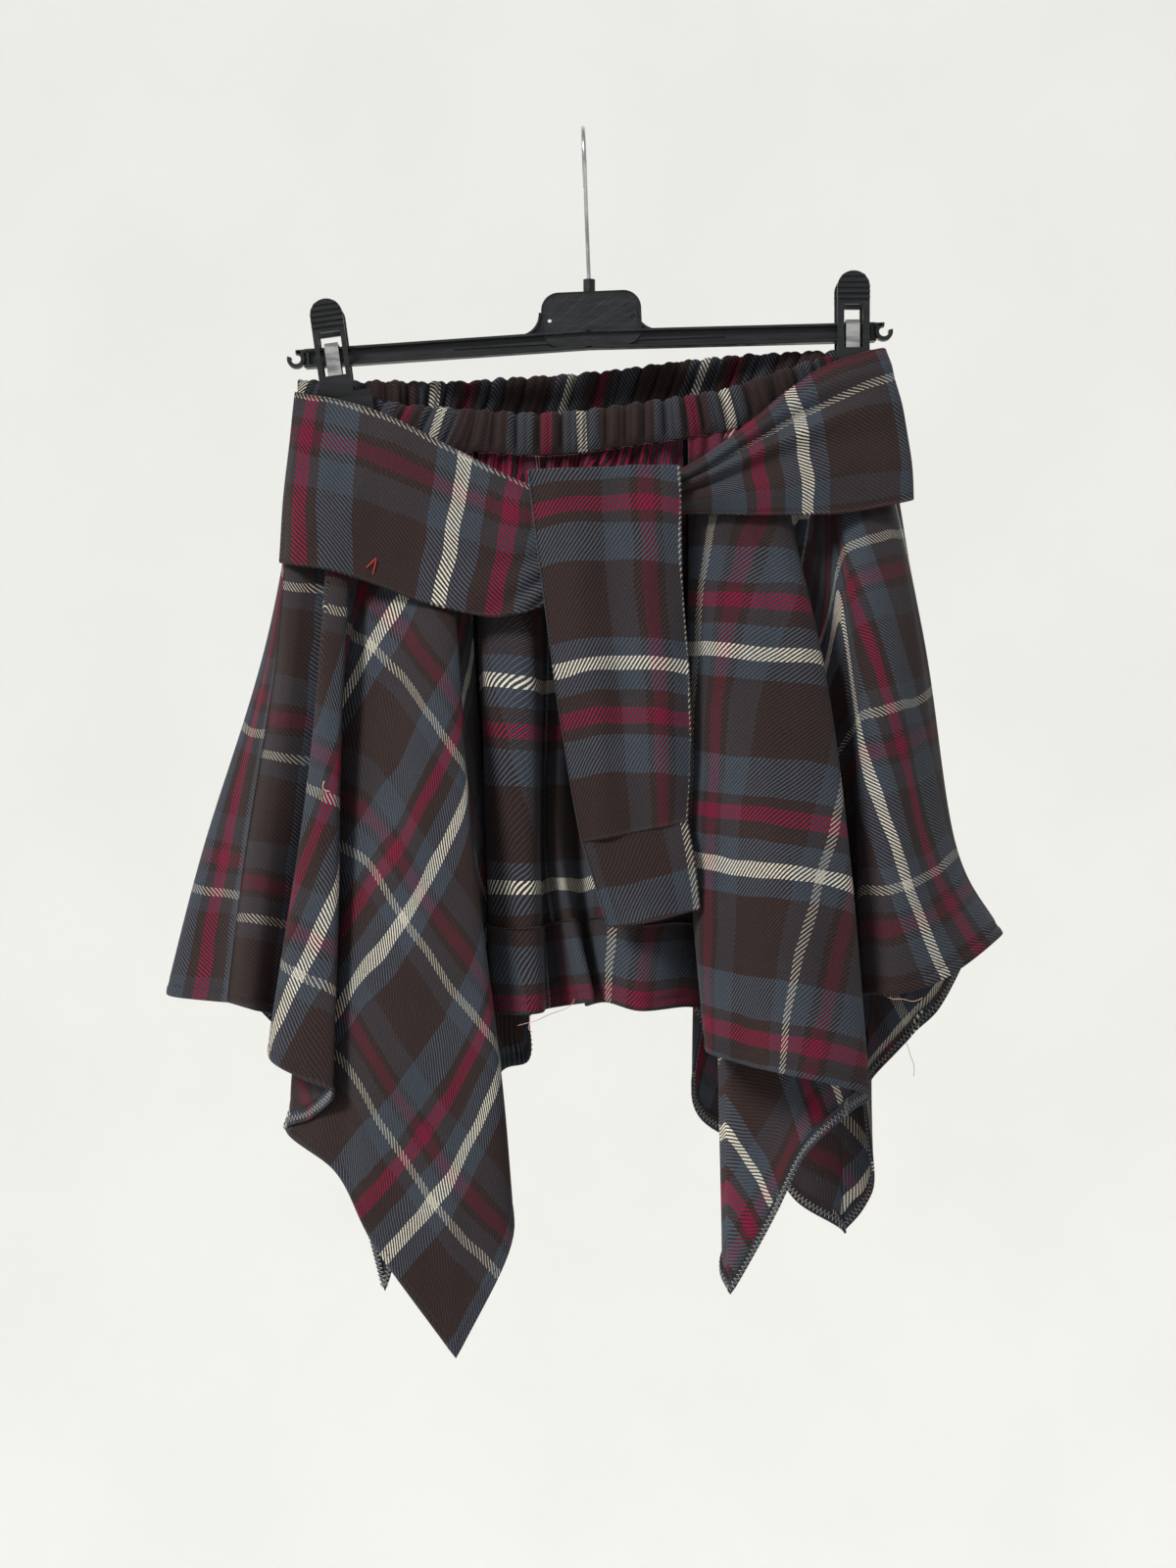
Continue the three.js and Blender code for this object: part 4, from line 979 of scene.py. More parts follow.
def waistband(name, table, side, seed, lean_of, carries):
    """A flat tube of cloth round the elastic, in irregular leaning gathers."""
    xs = np.linspace(table[0][0] + 0.5, table[-1][0] - 0.5, 620)
    profile = np.array(CASING, float)
    fine = np.linspace(0, len(profile) - 1, 44)
    section = np.stack([np.interp(fine, range(len(profile)), profile[:, k]) for k in (0, 1)], axis=1)
    places = np.array([band_at(table, x) for x in xs])
    along = np.gradient(np.stack([xs, places[:, 0]], axis=1), axis=0)
    along = unit(along)
    out = side * np.stack([-along[:, 1], along[:, 0]], axis=1) * np.sign(along[:, :1])
    pinch = 0.42 + 0.58 * smooth(1.9, 6.0, np.abs(places[:, 0]))
    grid = np.zeros((len(xs), len(section), 3))
    flat = np.zeros((len(xs), len(section), 2))
    crease_shade_amount = np.zeros((len(xs), len(section)))
    run = np.concatenate([[0], np.cumsum(np.linalg.norm(np.diff(section, axis=0), axis=1))])
    for j, (u, z) in enumerate(section):
        shift = lean_of(xs) * (z + 12)
        phase, high = gather_phase(xs - shift, seed)
        ridge = np.abs(np.cos(math.pi * phase)) ** 0.7
        fine_phase, _ = gather_phase(xs - 1.3 * shift, seed + 9, 4.5, 8.5)
        small = np.abs(np.cos(math.pi * fine_phase))
        depth = 0.25 + 0.75 * smooth(-25.6, -19, z) * (1 - 0.45 * smooth(-6, 0, z))
        swell = (3.3 * high * (ridge - 0.55) + 1.0 * (small - 0.5)) * depth * pinch
        top_rise = (2.3 * (ridge - 0.6) * high + 0.8 * (small - 0.5)) * smooth(-8, -1, z)
        reach = u * pinch + math.copysign(1, u) * swell * smooth(0, 1.2, abs(u))
        grid[:, j, 0] = xs + out[:, 0] * reach
        grid[:, j, 1] = places[:, 0] + out[:, 1] * reach
        grid[:, j, 2] = places[:, 1] + z + top_rise
        flat[:, j, 0] = xs - shift
        # painted shade: how much the colour is darkened in the valleys between the gathers
        crease_shade_amount[:, j] = np.clip(smooth(0.62, 0.1, ridge) + 0.35 * smooth(0.5, 0.1, small), 0, 1) * depth
        flat[:, j, 1] = run[j]
    rows, columns = grid.shape[:2]
    index = np.arange(rows * columns).reshape(rows, columns)
    after = np.roll(index, -1, axis=1)
    quads = np.stack([index[:-1], after[:-1], after[1:], index[1:]], axis=-1).reshape(-1, 4)
    if side > 0:
        quads = quads[:, ::-1]
    quads = quads.tolist()
    ends = [index[0].tolist(), index[-1].tolist()]
    quads += [ends[0][::-1] if side > 0 else ends[0], ends[1] if side > 0 else ends[1][::-1]]
    maps = woven(name, flat)
    piece = make_mesh(name, grid.reshape(-1, 3), quads, maps.reshape(-1, 2), None, [PLAID],
                      creased=crease_shade_amount.ravel())
    # like the sash, the casing is stated by its folded size: the cloth itself is twice as long
    width = BAND_WIDTH * LAID[name][4] * MM
    length = (BAND_HEIGHT + CASING_FOLD) * MM
    SHEETS[name] = (piece, width, length, width * length, "gathered", carries)
    return piece, grid


def front_lean(x):
    return 0.42 * smooth(-40, -90, x) - 0.22 * smooth(30, 90, x)


def back_lean(x):
    return 0.25 * smooth(-120, -60, x) + 0.1 * smooth(0, 60, x)


waistband("front_waistband", BAND_FRONT, -1, 61, front_lean, ["clip_left_front"])
waistband("back_waistband", BAND_BACK, 1, 67, back_lean, ["clip_left_back"])


# ---- sash, tail and cuff: doubled cloth with folded edges ----
SASH_WALL = 2.0


def sash_left_piece():
    grid, flat = sash_left_grid(16, 46)
    grid = wrinkled(grid, -1, [(90, 160, 1.0), (30, 60, 0.4)], 71)
    # soft creases fan out of the knot
    right = flat[..., 0]
    down = flat[..., 1]
    near = smooth(95, 175, right)
    fan = (down - 45) / (1 + 0.02 * (175 - right))
    grid = grid + (1.3 * near * np.cos(fan / 3.6))[..., None] * normals_of(grid, -1)
    piece = cloth_wall("left_sash", grid, woven("left_sash", flat), -1, SASH_WALL, FACES)
    note_sheet(piece, flat, "hung", ["left_drape", "sash_tail"])
    return piece, grid


def sash_right_piece():
    grid, flat = sash_right_grid(16, 72)
    grid = wrinkled(grid, -1, [(80, 120, 0.9), (26, 50, 0.35)], 73)
    piece = cloth_wall("right_sash", grid, woven("right_sash", flat), -1, SASH_WALL, FACES)
    note_sheet(piece, flat, "hung", ["right_drape", "sash_tail"])
    return piece, grid


def tail_piece():
    grid, flat = hanging_grid(TAIL, 16, 90, 0.4)
    grid = wrinkled(grid, -1, [(60, 160, 0.9), (24, 70, 0.35)], 79, top=60)
    piece = cloth_wall("sash_tail", grid, woven("sash_tail", flat), -1, SASH_WALL, FACES)
    note_sheet(piece, flat, "hung", ["left_sash", "right_sash"])
    return piece, grid


def cuff_piece():
    grid, flat = hanging_grid(CUFF, 24, 30, 0.5)
    grid = wrinkled(grid, -1, [(50, 80, 0.7)], 83)
    piece = cloth_wall("cuff_cloth", grid, woven("cuff_cloth", flat), -1, SASH_WALL, FACES)
    note_sheet(piece, flat, "hung", ["sash_tail"])
    return piece, grid


left_sash, left_sash_grid = sash_left_piece()
right_sash, right_sash_grid = sash_right_piece()
sash_tail, tail_grid = tail_piece()
cuff_cloth, cuff_grid = cuff_piece()


# ---- shorts ----
def flat_ring(x, width, depth, z, count=96):
    """A rounded flat loop, seen from above."""
    ring = []
    for k in range(count):
        angle = 2 * math.pi * k / count
        c, s = math.cos(angle), math.sin(angle)
        ring.append((x + width * math.copysign(abs(c) ** 0.8, c),
                     depth * math.copysign(abs(s) ** 0.9, s), z))
    return np.array(ring)


def jersey_tube(name, rings, down, seed):
    """A closed thin tube through rings, its outer and inner faces joined at both ends."""
    lines = np.stack(rings, axis=1)
    grid = lofted(lines, np.linspace(0, 1, lines.shape[0]), even(down))
    around = len(grid)
    index = np.arange(around)
    centre = grid.mean(axis=0, keepdims=True)
    out = unit((grid - centre) * np.array([1, 1, 0]))
    fall = run_of(grid, 1)
    girth = run_of(np.concatenate([grid, grid[:1]], axis=0), 0)[:-1]
    grid = grid + (0.6 * ripple(girth, fall, [(60, 200, 1.0), (24, 90, 0.4)], seed))[..., None] * out \
        * smooth(0, 14, np.minimum(fall, fall[:, -1:] - fall))[..., None]
    half = 0.5
    layers = [grid + half * out, grid - half * out]
    points = np.concatenate([layer.reshape(-1, 3) for layer in layers])
    flat = np.stack([girth, fall], axis=-1).reshape(-1, 2)
    columns = grid.shape[1]
    outer = np.arange(around * columns).reshape(around, columns)
    inner = outer + around * columns
    nxt = np.roll(index, -1)
    quads = []
    for a, flip in ((outer, False), (inner, True)):
        block = np.stack([a[:, :-1], a[:, 1:], a[nxt][:, 1:], a[nxt][:, :-1]], axis=-1).reshape(-1, 4)
        quads.append(block[:, ::-1] if flip else block)
    for end, flip in ((0, True), (-1, False)):
        block = np.stack([outer[:, end], inner[:, end], inner[nxt, end], outer[nxt, end]], axis=-1)
        quads.append(block[:, ::-1] if flip else block)
    return make_mesh(name, points, np.concatenate(quads).tolist(), np.concatenate([flat, flat]),
                     None, [JERSEY])


def waist_ring():
    ring = []
    for x, y, _ in flat_ring(SHORTS_X, SHORTS_WAIST, 1, 0):
        front_y, front_z = band_at(BAND_FRONT, x)
        back_y, back_z = band_at(BAND_BACK, x)
        edge = front_y if y < 0 else back_y
        share = (y + 1) / 2
        z = front_z + share * (back_z - front_z) - BAND_HEIGHT - 1.2
        ring.append((x, abs(y) * (edge - math.copysign(1.05, edge)), z))
    return np.array(ring)


seat_rings = [waist_ring()] + [flat_ring(SHORTS_X, *ring) for ring in SHORTS_RINGS]
seat_jersey = jersey_tube("seat_jersey", seat_rings, 28, 91)
SHEETS["seat_jersey"] = (seat_jersey, *SEAT_CUT, math.prod(SEAT_CUT), "gathered", ["back_waistband"])
legs = []
for side, x in LEG_X.items():
    rings = [flat_ring(x, LEG_WIDTH, LEG_DEPTH, LEG_TOP), flat_ring(x, LEG_HEM_WIDTH, LEG_DEPTH, LEG_HEM)]
    leg = jersey_tube(side + "_leg_jersey", rings, 22, 93)
    legs.append(leg)
    SHEETS[leg.name] = (leg, *LEG_CUT, math.prod(LEG_CUT), "hung", ["seat_jersey"])


# ---- repeated stitches, made by one node tree ----
def stitch_tree():
    tree = bpy.data.node_groups.new("stitch_row", "GeometryNodeTree")
    face = tree.interface
    face.new_socket("Geometry", in_out="INPUT", socket_type="NodeSocketGeometry")
    inputs = {}
    for name in ("Stitch Length", "Thread Radius", "Rise", "Slant"):
        inputs[name] = face.new_socket(name, in_out="INPUT", socket_type="NodeSocketFloat").identifier
    thread_input = face.new_socket("Thread", in_out="INPUT", socket_type="NodeSocketMaterial")
    inputs["Thread"] = thread_input.identifier
    face.new_socket("Geometry", in_out="OUTPUT", socket_type="NodeSocketGeometry")

    def node(kind, **settings):
        made = tree.nodes.new(kind)
        for key, value in settings.items():
            setattr(made, key, value)
        return made

    link = tree.links.new
    entry = node("NodeGroupInput")
    leave = node("NodeGroupOutput")
    half = node("ShaderNodeMath", operation="MULTIPLY")
    half.inputs[1].default_value = 0.5
    link(entry.outputs["Stitch Length"], half.inputs[0])
    back = node("ShaderNodeMath", operation="MULTIPLY")
    back.inputs[1].default_value = -0.5
    link(entry.outputs["Stitch Length"], back.inputs[0])
    bezier = node("GeometryNodeCurveQuadraticBezier")
    bezier.inputs["Resolution"].default_value = 4
    start, middle, end = (node("ShaderNodeCombineXYZ") for _ in range(3))
    link(back.outputs[0], start.inputs[0])
    link(entry.outputs["Rise"], middle.inputs[2])
    link(half.outputs[0], end.inputs[0])
    for source, target in ((start, "Start"), (middle, "Middle"), (end, "End")):
        link(source.outputs[0], bezier.inputs[target])
    ring = node("GeometryNodeCurvePrimitiveCircle")
    ring.inputs["Resolution"].default_value = 5
    link(entry.outputs["Thread Radius"], ring.inputs["Radius"])
    tube = node("GeometryNodeCurveToMesh")
    tube.inputs["Fill Caps"].default_value = True
    link(bezier.outputs[0], tube.inputs["Curve"])
    link(ring.outputs[0], tube.inputs["Profile Curve"])
    along = node("GeometryNodeInputNamedAttribute", data_type="FLOAT_VECTOR")
    along.inputs["Name"].default_value = "along"
    out = node("GeometryNodeInputNamedAttribute", data_type="FLOAT_VECTOR")
    out.inputs["Name"].default_value = "out"
    axes = node("FunctionNodeAxesToRotation", primary_axis="Z", secondary_axis="X")
    link(out.outputs[0], axes.inputs["Primary Axis"])
    link(along.outputs[0], axes.inputs["Secondary Axis"])
    index = node("GeometryNodeInputIndex")
    odd = node("ShaderNodeMath", operation="MODULO")
    odd.inputs[1].default_value = 2.0
    link(index.outputs[0], odd.inputs[0])
    sign = node("ShaderNodeMath", operation="MULTIPLY_ADD")
    sign.inputs[1].default_value = 2.0
    sign.inputs[2].default_value = -1.0
    link(odd.outputs[0], sign.inputs[0])
    lean = node("ShaderNodeMath", operation="MULTIPLY")
    link(sign.outputs[0], lean.inputs[0])
    link(entry.outputs["Slant"], lean.inputs[1])
    euler = node("ShaderNodeCombineXYZ")
    link(lean.outputs[0], euler.inputs[2])
    turned = node("FunctionNodeRotateRotation", rotation_space="LOCAL")
    link(axes.outputs[0], turned.inputs[0])
    link(euler.outputs[0], turned.inputs[1])
    spread = node("GeometryNodeInstanceOnPoints")
    link(entry.outputs["Geometry"], spread.inputs["Points"])
    link(tube.outputs[0], spread.inputs["Instance"])
    link(turned.outputs[0], spread.inputs["Rotation"])
    real = node("GeometryNodeRealizeInstances")
    link(spread.outputs[0], real.inputs[0])
    paint = node("GeometryNodeSetMaterial")
    link(real.outputs[0], paint.inputs["Geometry"])
    link(entry.outputs["Thread"], paint.inputs["Material"])
    link(paint.outputs[0], leave.inputs[0])
    return tree, inputs


STITCH_TREE, STITCH_INPUTS = stitch_tree()


def stitches(name, path, out, step, length, radius, rise, slant, material, offset=0.0):
    """A row of stitches along a path in millimetres, standing on the side that out points to."""
    run = np.concatenate([[0], np.cumsum(np.linalg.norm(np.diff(path, axis=0), axis=1))])
    marks = np.arange(step * 0.5 + offset, run[-1], step)
    places = np.stack([np.interp(marks, run, path[:, k]) for k in range(3)], axis=1)
    ahead = np.stack([np.interp(marks + 0.5, run, path[:, k]) for k in range(3)], axis=1)
    behind = np.stack([np.interp(marks - 0.5, run, path[:, k]) for k in range(3)], axis=1)
    normal = unit(np.stack([np.interp(marks, run, out[:, k]) for k in range(3)], axis=1))
    mesh = bpy.data.meshes.new(name + "_marks")
    mesh.from_pydata((places * MM).tolist(), [], [])
    headings = mesh.attributes.new("along", "FLOAT_VECTOR", "POINT").data
    headings.foreach_set("vector", unit(ahead - behind).ravel())
    mesh.attributes.new("out", "FLOAT_VECTOR", "POINT").data.foreach_set("vector", normal.ravel())
    holder = bpy.data.objects.new(name + "_marks", mesh)
    scene.collection.objects.link(holder)
    maker = holder.modifiers.new("stitch row", "NODES")
    maker.node_group = STITCH_TREE
    values = {"Stitch Length": length * MM, "Thread Radius": radius * MM, "Rise": rise * MM,
              "Slant": slant, "Thread": material}
    for key, value in values.items():
        maker[STITCH_INPUTS[key]] = value
    graph = bpy.context.evaluated_depsgraph_get()
    made = bpy.data.meshes.new_from_object(holder.evaluated_get(graph))
    holder.modifiers.remove(maker)
    bpy.data.objects.remove(holder)
    made.name = name
    piece = bpy.data.objects.new(name, made)
    scene.collection.objects.link(piece)
    return piece


TRIMS = []


def hem_line(grid, side, height, lift):
    """A line across a piece, at a height above its lower edge, and the outward directions on it."""
    line, out = at_height(grid, normals_of(grid, side), np.array([height]))
    out = unit(out[:, 0])
    return line[:, 0] + lift * out, out


for trim_name, trim_grid, trim_side in (
        ("hem_stitching_left", left_grid, -1), ("hem_stitching_right", right_grid, -1),
        ("hem_stitching_front", front_low, -1), ("hem_stitching_back", back_grid, 1)):
    line, out = hem_line(trim_grid, trim_side, STITCH_RISE, TWILL / 2)
    TRIMS.append(stitches(trim_name, line, out, 3.1, 2.7, 0.16, 0.28, 0.0, DARK_THREAD))

for trim_name, trim_grid, trim_side in (
        ("overlock_left", left_grid, -1), ("overlock_right", right_grid, -1),
        ("overlock_back", back_grid, 1)):
    line, out = hem_line(trim_grid, trim_side, OVERLOCK_RISE, -(TURN_GAP + TWILL / 2))
    TRIMS.append(stitches(trim_name + "_pale", line, -out, 1.4, 4.4, 0.22, 0.6, 1.2, GREY_THREAD))
    TRIMS.append(stitches(trim_name + "_dark", line, -out, 1.4, 4.4, 0.26, 0.6, 1.2, DARK_THREAD, 0.7))


# seam stitching under both waistbands
for trim_name, trim_table, trim_side in (
        ("waist_stitching_front", BAND_FRONT, -1), ("waist_stitching_back", BAND_BACK, 1)):
    xs = np.linspace(trim_table[0][0] + 3, trim_table[-1][0] - 3, 160)
    line = []
    for x in xs:
        y, z = band_at(trim_table, x)
        line.append((x, y + trim_side * SEAM_LIFT, z - SEAM_DROP))
    out = np.tile([0.0, float(trim_side), 0.0], (len(xs), 1))
    TRIMS.append(stitches(trim_name, np.array(line), out, 3.4, 2.6, 0.17, 0.3, 0.0, DARK_THREAD))


# ---- loose thread ends ----
def tube_along(name, paths, radius, material):
    """Thin threads as one mesh: each path is a list of points in millimetres."""
    curve = bpy.data.curves.new(name, "CURVE")
    curve.dimensions = "3D"
    curve.bevel_depth = radius * MM
    curve.bevel_resolution = 1
    curve.resolution_u = 5
    curve.use_fill_caps = True
    for path in paths:
        spline = curve.splines.new("NURBS")
        spline.points.add(len(path) - 1)
        for point, place in zip(spline.points, path):
            point.co = (*(c * MM for c in place), 1)
        spline.use_endpoint_u = True
        spline.order_u = 3
    holder = bpy.data.objects.new(name + "_path", curve)
    scene.collection.objects.link(holder)
    graph = bpy.context.evaluated_depsgraph_get()
    mesh = bpy.data.meshes.new_from_object(holder.evaluated_get(graph))
    bpy.data.objects.remove(holder)
    mesh.name = name
    mesh.materials.clear()
    mesh.materials.append(material)
    piece = bpy.data.objects.new(name, mesh)
    scene.collection.objects.link(piece)
    return piece


THREAD_ENDS = (
    ("thread_on_sash", RED_THREAD, 0.33, [
        [(-130.2, -44.6, -274.2), (-127, -45.6, -271.4), (-124.4, -44.8, -268.4), (-124.2, -44.6, -269.4),
         (-125, -45, -273), (-126.2, -44.8, -278.2)]]),
    ("thread_on_flute", PINK_THREAD, 0.36, [
        [(-149.5, -70, -408.6), (-152.5, -70, -408.4), (-154, -71, -405.6), (-152.4, -72, -402.6)]]),
    ("thread_on_front_hem", PINK_THREAD, 0.2, [
        [(-38.5, -69.6, -547), (-33, -70.5, -545.4), (-27, -70, -544), (-20, -56, -541.5), (-12, -50, -539.6),
         (-6, -52, -536.5), (-5.2, -56, -532.6)],
        [(-31, -68.8, -541), (-31.4, -69.8, -546), (-32.6, -69.2, -549.6), (-29.8, -68.6, -551)]]),
    ("threads_on_right_hem", PINK_THREAD, 0.18, [
        [(178, -60, -529), (182, -66, -532), (189, -69.6, -531), (196, -68.6, -533.6), (201, -66, -531)],
        [(199, 20, -560), (202.5, 12, -566), (203.4, 8, -573), (206.6, 6, -580), (205.2, 4, -586)]]),
)
for name, colour, radius, paths in THREAD_ENDS:
    TRIMS.append(tube_along(name, paths, radius, colour))


# ---- hanger: an I-section bar, a raised centre plate and open catches at both ends ----
WIRE_D = 2.7
HOOK_R = 20.0
STEM_BASE = (3.6, -91.7)
PLATE = {"x": 5.2, "z": -116.5, "width": 62.0, "height": 34.0, "corner": 11.0, "depth": 4.4, "turn": 2.4}
ARM_ROOT = (3.6, -129.3)
ARM_ENDS = ((-176.0, -141.6), (184.5, -124.6))
ARM_HEIGHT = 11.5
ARM_DEPTH = 9.0
WEB = 1.6
FLANGE = 1.8


def slab(points_xz, depth, holes=(), bevel=0.35, y=0.0):
    """Vertices and faces of a flat shape in x and z, with slightly rounded edges."""
    curve = bpy.data.curves.new("slab", "CURVE")
    curve.dimensions = "2D"
    curve.fill_mode = "BOTH"
    curve.extrude = (depth / 2 - bevel) * MM
    curve.bevel_depth = bevel * MM
    curve.bevel_resolution = 2
    curve.offset = -bevel * MM
    for outline in (points_xz, *holes):
        spline = curve.splines.new("POLY")
        spline.points.add(len(outline) - 1)
        for point, (x, z) in zip(spline.points, outline):
            point.co = (x * MM, z * MM, 0, 1)
        spline.use_cyclic_u = True
    holder = bpy.data.objects.new("slab", curve)
    scene.collection.objects.link(holder)
    graph = bpy.context.evaluated_depsgraph_get()
    mesh = bpy.data.meshes.new_from_object(holder.evaluated_get(graph))
    bpy.data.objects.remove(holder)
    points = [(v.co.x, y * MM - v.co.z, v.co.y) for v in mesh.vertices]
    faces = [tuple(p.vertices) for p in mesh.polygons]
    return points, faces


def arc(cx, cz, radius, start, end, steps=10):
    turn = [math.radians(start + (end - start) * i / steps) for i in range(steps + 1)]
    return [(cx + radius * math.cos(a), cz + radius * math.sin(a)) for a in turn]


def strip(a, b, width):
    """Outline of a straight strip between two points."""
    dx, dz = b[0] - a[0], b[1] - a[1]
    size = math.hypot(dx, dz)
    nx, nz = -dz / size * width / 2, dx / size * width / 2
    return [(a[0] + nx, a[1] + nz), (a[0] - nx, a[1] - nz), (b[0] - nx, b[1] - nz), (b[0] + nx, b[1] + nz)]


def hanger_slabs():
    made = []
    plate = PLATE
    half_w, half_h, corner = plate["width"] / 2, plate["height"] / 2, plate["corner"]
    tilt = math.radians(plate["turn"])

    def on_plate(x, z):
        return (plate["x"] + x * math.cos(tilt) - z * math.sin(tilt),
                plate["z"] + x * math.sin(tilt) + z * math.cos(tilt))

    pill = []
    for cx, cz, start in ((half_w - corner, half_h - corner, 0), (corner - half_w, half_h - corner, 90),
                          (corner - half_w, corner - half_h, 180), (half_w - corner, corner - half_h, 270)):
        pill += arc(cx, cz, corner, start, start + 90, 12)
    holes = [[on_plate(x, z) for x, z in arc(hole, 0, 1.25, 360, 0, 14)[:-1]] for hole in (-26, 26)]
    made.append(slab([on_plate(x, z) for x, z in pill], plate["depth"], holes, 0.5))
    rim = [on_plate(x * 0.968, z * 0.945) for x, z in pill]
    made.append(slab([on_plate(x, z) for x, z in pill], plate["depth"] + 0.7, [rim[::-1]], 0.2))
    for end in ARM_ENDS:
        side = math.copysign(1, end[0])
        dx, dz = end[0] - ARM_ROOT[0], end[1] - ARM_ROOT[1]
        size = math.hypot(dx, dz)
        ux, uz = dx / size, dz / size
        nx, nz = (-uz, ux) if side > 0 else (uz, -ux)

        def on_arm(t, h, ux=ux, uz=uz, nx=nx, nz=nz):
            return (ARM_ROOT[0] + ux * t + nx * h, ARM_ROOT[1] + uz * t + nz * h)

        half = ARM_HEIGHT / 2
        made.append(slab(strip(on_arm(-2, 0), on_arm(size - 3, 0), ARM_HEIGHT - 1), WEB, (), 0.2))
        for level in (half - FLANGE / 2, FLANGE / 2 - half):
            made.append(slab(strip(on_arm(-2, level), on_arm(size - 4, level), FLANGE), ARM_DEPTH, (), 0.5))
        # short tapering ribs beside the plate, and a cross rib at each end
        rib = [on_arm(24, -1.2), on_arm(24, 0.9), on_arm(84, 0.3), on_arm(84, -0.4)]
        made.append(slab(rib, 3.4, (), 0.2))
        for t in (size - 22, size - 6):
            cross = strip(on_arm(t, -half + 1), on_arm(t, half - 1), 1.6)
            made.append(slab(cross, ARM_DEPTH - 1.6, (), 0.2))
        # the concave sweep from the arm up to the plate
        sweep = [on_arm(26, half - 1.0), on_arm(26, half + 15)]
        sweep += [on_arm(43 - 13 * math.cos(a), half + 13 - 13 * math.sin(a) - 0.4) for a in
                  [math.radians(d) for d in range(8, 91, 8)]]
        sweep += [on_arm(52, half - 0.6), on_arm(52, half - 1.6)]
        made.append(slab(sweep, 3.2, (), 0.3))
        edge = [on_arm(43 - 13 * math.cos(a), half + 13 - 13 * math.sin(a) - 0.4) for a in
                [math.radians(d) for d in range(0, 91, 6)]]
        inner = [on_arm(43 - 14.6 * math.cos(a), half + 13 - 14.6 * math.sin(a) - 0.4) for a in
                 [math.radians(d) for d in range(90, -1, -6)]]
        made.append(slab(edge + inner, ARM_DEPTH - 2, (), 0.3))
        # the open catch
        cx, cz = on_arm(size + 1.6, 0.2)
        gap = 128 if side < 0 else 52
        ring = arc(cx, cz, 5.6, gap + 34, gap + 326, 30)
        ring += arc(cx, cz, 3.0, gap + 326, gap + 34, 24)
        made.append(slab(ring, 6.0, (), 0.4))
        neck = strip(on_arm(size - 12, half - 1.3), on_arm(size + 1.0, half - 1.3), 2.6)
        made.append(slab(neck, 6.0, (), 0.4))
    return made


def hanger_bar_piece():
    points = []
    faces = []
    for part_points, part_faces in hanger_slabs():
        base = len(points)
        points += part_points
        faces += [tuple(i + base for i in face) for face in part_faces]
    mesh = bpy.data.meshes.new("hanger_bar")
    mesh.from_pydata(points, [], faces)
    mesh.materials.append(PLASTIC)
    mesh.validate()
    piece = bpy.data.objects.new("hanger_bar", mesh)
    scene.collection.objects.link(piece)
    import bmesh
    work = bmesh.new()
    work.from_mesh(mesh)
    bmesh.ops.remove_doubles(work, verts=work.verts, dist=0.000005)
    bmesh.ops.recalc_face_normals(work, faces=work.faces)
    work.to_mesh(mesh)
    work.free()
    return piece


hanger_bar = hanger_bar_piece()


def hook_rod_piece():
    """The wire: a straight stem, an offset neck and a round hook."""
    path = [(0, -91.7), (0, -84), (0, -76), (0, -68), (-0.3, -60), (-1.4, -53), (-4.2, -46.5)]
    middle = WIRE_D / 2 - HOOK_R
    for degrees in range(222, -37, -6):
        a = math.radians(degrees)
        path.append((HOOK_R * math.cos(a), middle + HOOK_R * math.sin(a)))
    points = [(STEM_BASE[0] * z / STEM_BASE[1], y, z) for y, z in path]
    return tube_along("hook_rod", [points], WIRE_D / 2, STEEL)


hook_rod = hook_rod_piece()


# ---- finishes on the carried-over parts ----
CARRIED = {"hook_collar": PLASTIC, "clip_left_front": PLASTIC, "clip_left_back": PLASTIC,
           "clip_left_spring": SPRING, "clip_right_front": PLASTIC, "clip_right_back": PLASTIC,
           "clip_right_spring": SPRING}
for node_name, finish in CARRIED.items():
    node_object = bpy.data.objects[node_name]
    for slot in node_object.material_slots:
        slot.material = finish


# ---- stage and light ----
def plain_surface(name, colour):
    make = Recipe(name, 0.85, Specular_IOR_Level=0.1)
    mottle = make.noise(make.object_place(), 3.0, 3.0)[0]
    tone = make.between(mottle, 0.3, 0.7, 0.985, 1.015)
    tinted = make.blend(1.0, (*colour, 1), make.vector(tone, tone, tone), "MULTIPLY")
    return make.finish(tinted)


def stage_plane(name, corners, material):
    mesh = bpy.data.meshes.new(name)
    mesh.from_pydata(corners, [], [(0, 1, 2, 3)])
    mesh.materials.append(material)
    plane = bpy.data.objects.new(name, mesh)
    scene.collection.objects.link(plane)


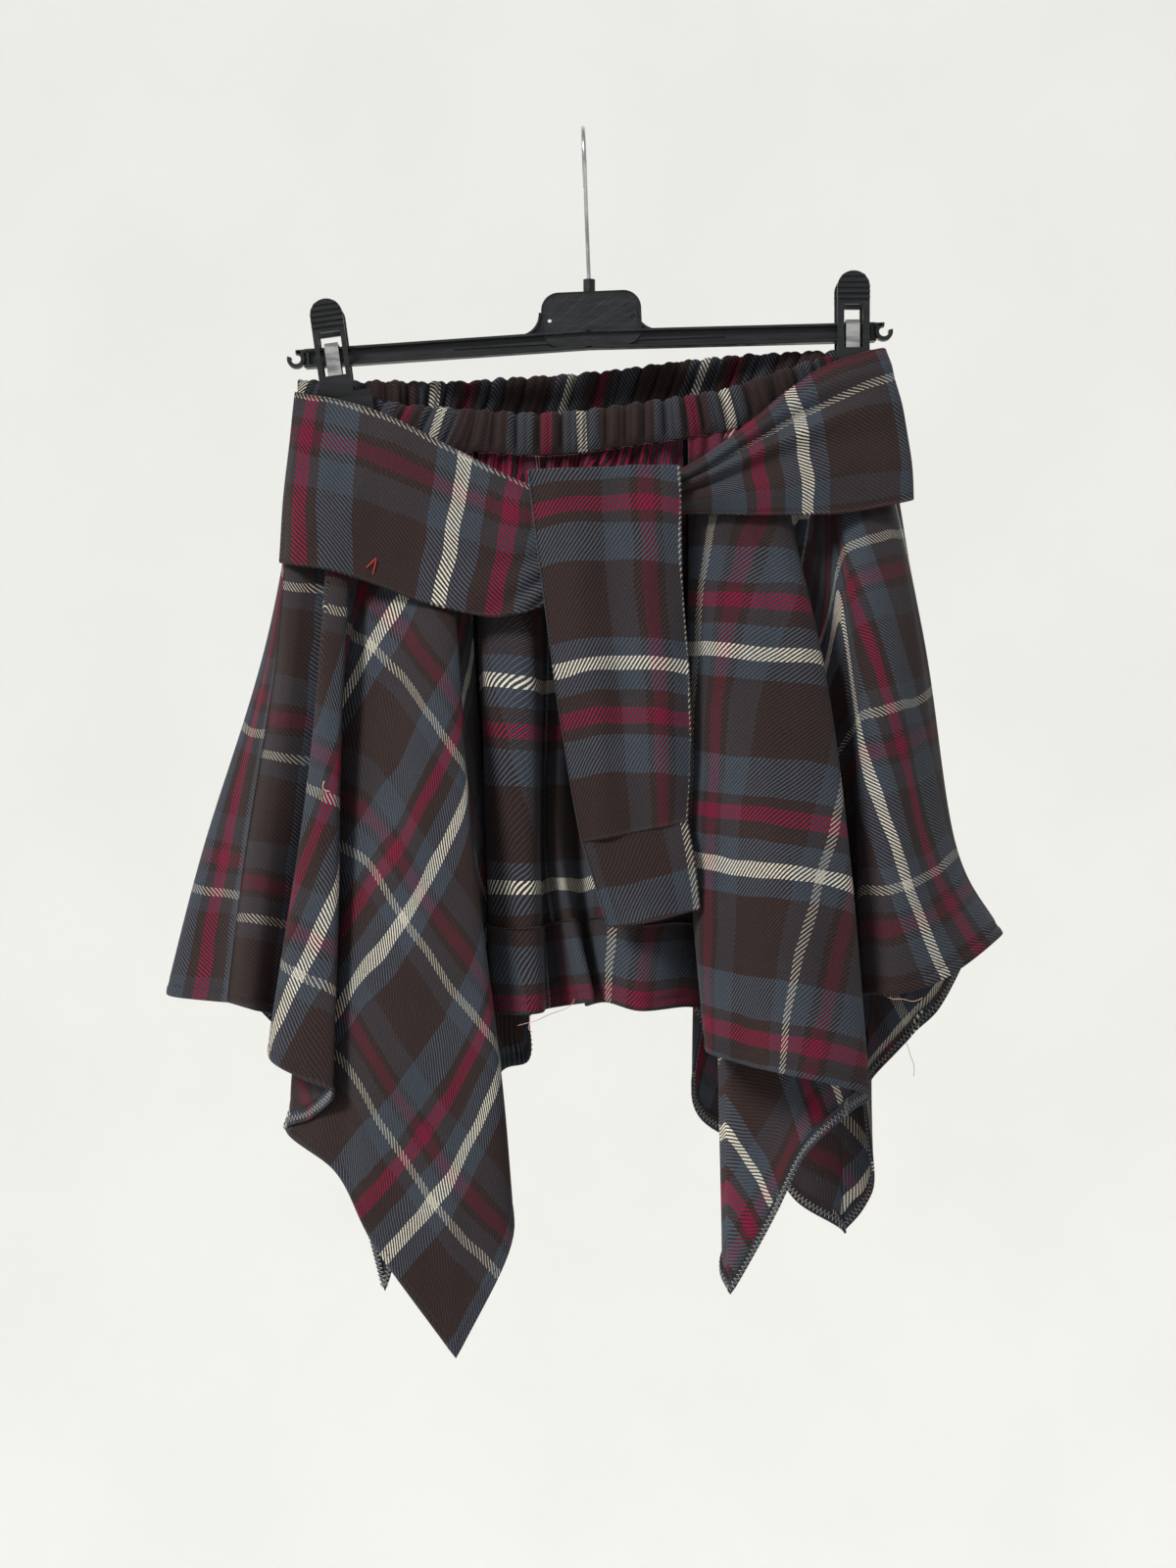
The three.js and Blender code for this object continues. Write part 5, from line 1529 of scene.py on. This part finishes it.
WALL_Y = 2.5
FLOOR_Z = -1.78
WALL_TOP = 4
STAGE_FRONT = -6
HALF_STAGE = 7
ROOM_LIGHT = 0.4
stage_plane("studio_wall",
            [(-HALF_STAGE, WALL_Y, FLOOR_Z), (HALF_STAGE, WALL_Y, FLOOR_Z),
             (HALF_STAGE, WALL_Y, WALL_TOP), (-HALF_STAGE, WALL_Y, WALL_TOP)],
            plain_surface("pale_wall", (0.82, 0.82, 0.80)))
stage_plane("studio_floor",
            [(-HALF_STAGE, STAGE_FRONT, FLOOR_Z), (HALF_STAGE, STAGE_FRONT, FLOOR_Z),
             (HALF_STAGE, WALL_Y, FLOOR_Z), (-HALF_STAGE, WALL_Y, FLOOR_Z)],
            plain_surface("pale_floor", (0.76, 0.76, 0.74)))

world = bpy.data.worlds.new("soft_room")
world.use_nodes = True
world.node_tree.nodes["Background"].inputs["Color"].default_value = (0.96, 0.98, 1.0, 1)
world.node_tree.nodes["Background"].inputs["Strength"].default_value = ROOM_LIGHT
scene.world = world


def sun(name, towards, strength, angle, colour):
    data = bpy.data.lights.new(name, "SUN")
    data.energy = strength
    data.angle = math.radians(angle)
    data.color = colour
    light = bpy.data.objects.new(name, data)
    x, y, z = towards
    tilt = math.acos(-z / math.sqrt(x * x + y * y + z * z))
    light.rotation_euler = (tilt, 0, math.atan2(y, x) - math.pi / 2)
    scene.collection.objects.link(light)


sun("window_light", (0.62, 0.72, -0.66), 2.6, 16, (1.0, 0.985, 0.96))
sun("back_fill", (-0.3, -0.8, -0.5), 1.0, 60, (0.97, 0.98, 1.0))

# ---- the carried-over parts that the new pieces stand for, hidden ----
STANDS_FOR = {
    "left_drape": "skirt_left", "front_panel": "skirt_front", "right_drape": "skirt_right",
    "back_panel": "skirt_back", "front_waistband": "waistband_front", "back_waistband": "waistband_back",
    "left_sash": "sash_left", "right_sash": "sash_right", "sash_tail": "tail", "cuff_cloth": "tail_cuff",
    "seat_jersey": "shorts_seat", "left_leg_jersey": "shorts_leg_left",
    "right_leg_jersey": "shorts_leg_right",
}
for name, node_name in STANDS_FOR.items():
    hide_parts(node_name)
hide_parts("hanger_body")
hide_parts("hook_wire")
for name, (piece, width, length, area, held, rests_on) in SHEETS.items():
    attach(piece, "root")
for piece in TRIMS:
    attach(piece, "root")
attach(hanger_bar, "root")
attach(hook_rod, "root")
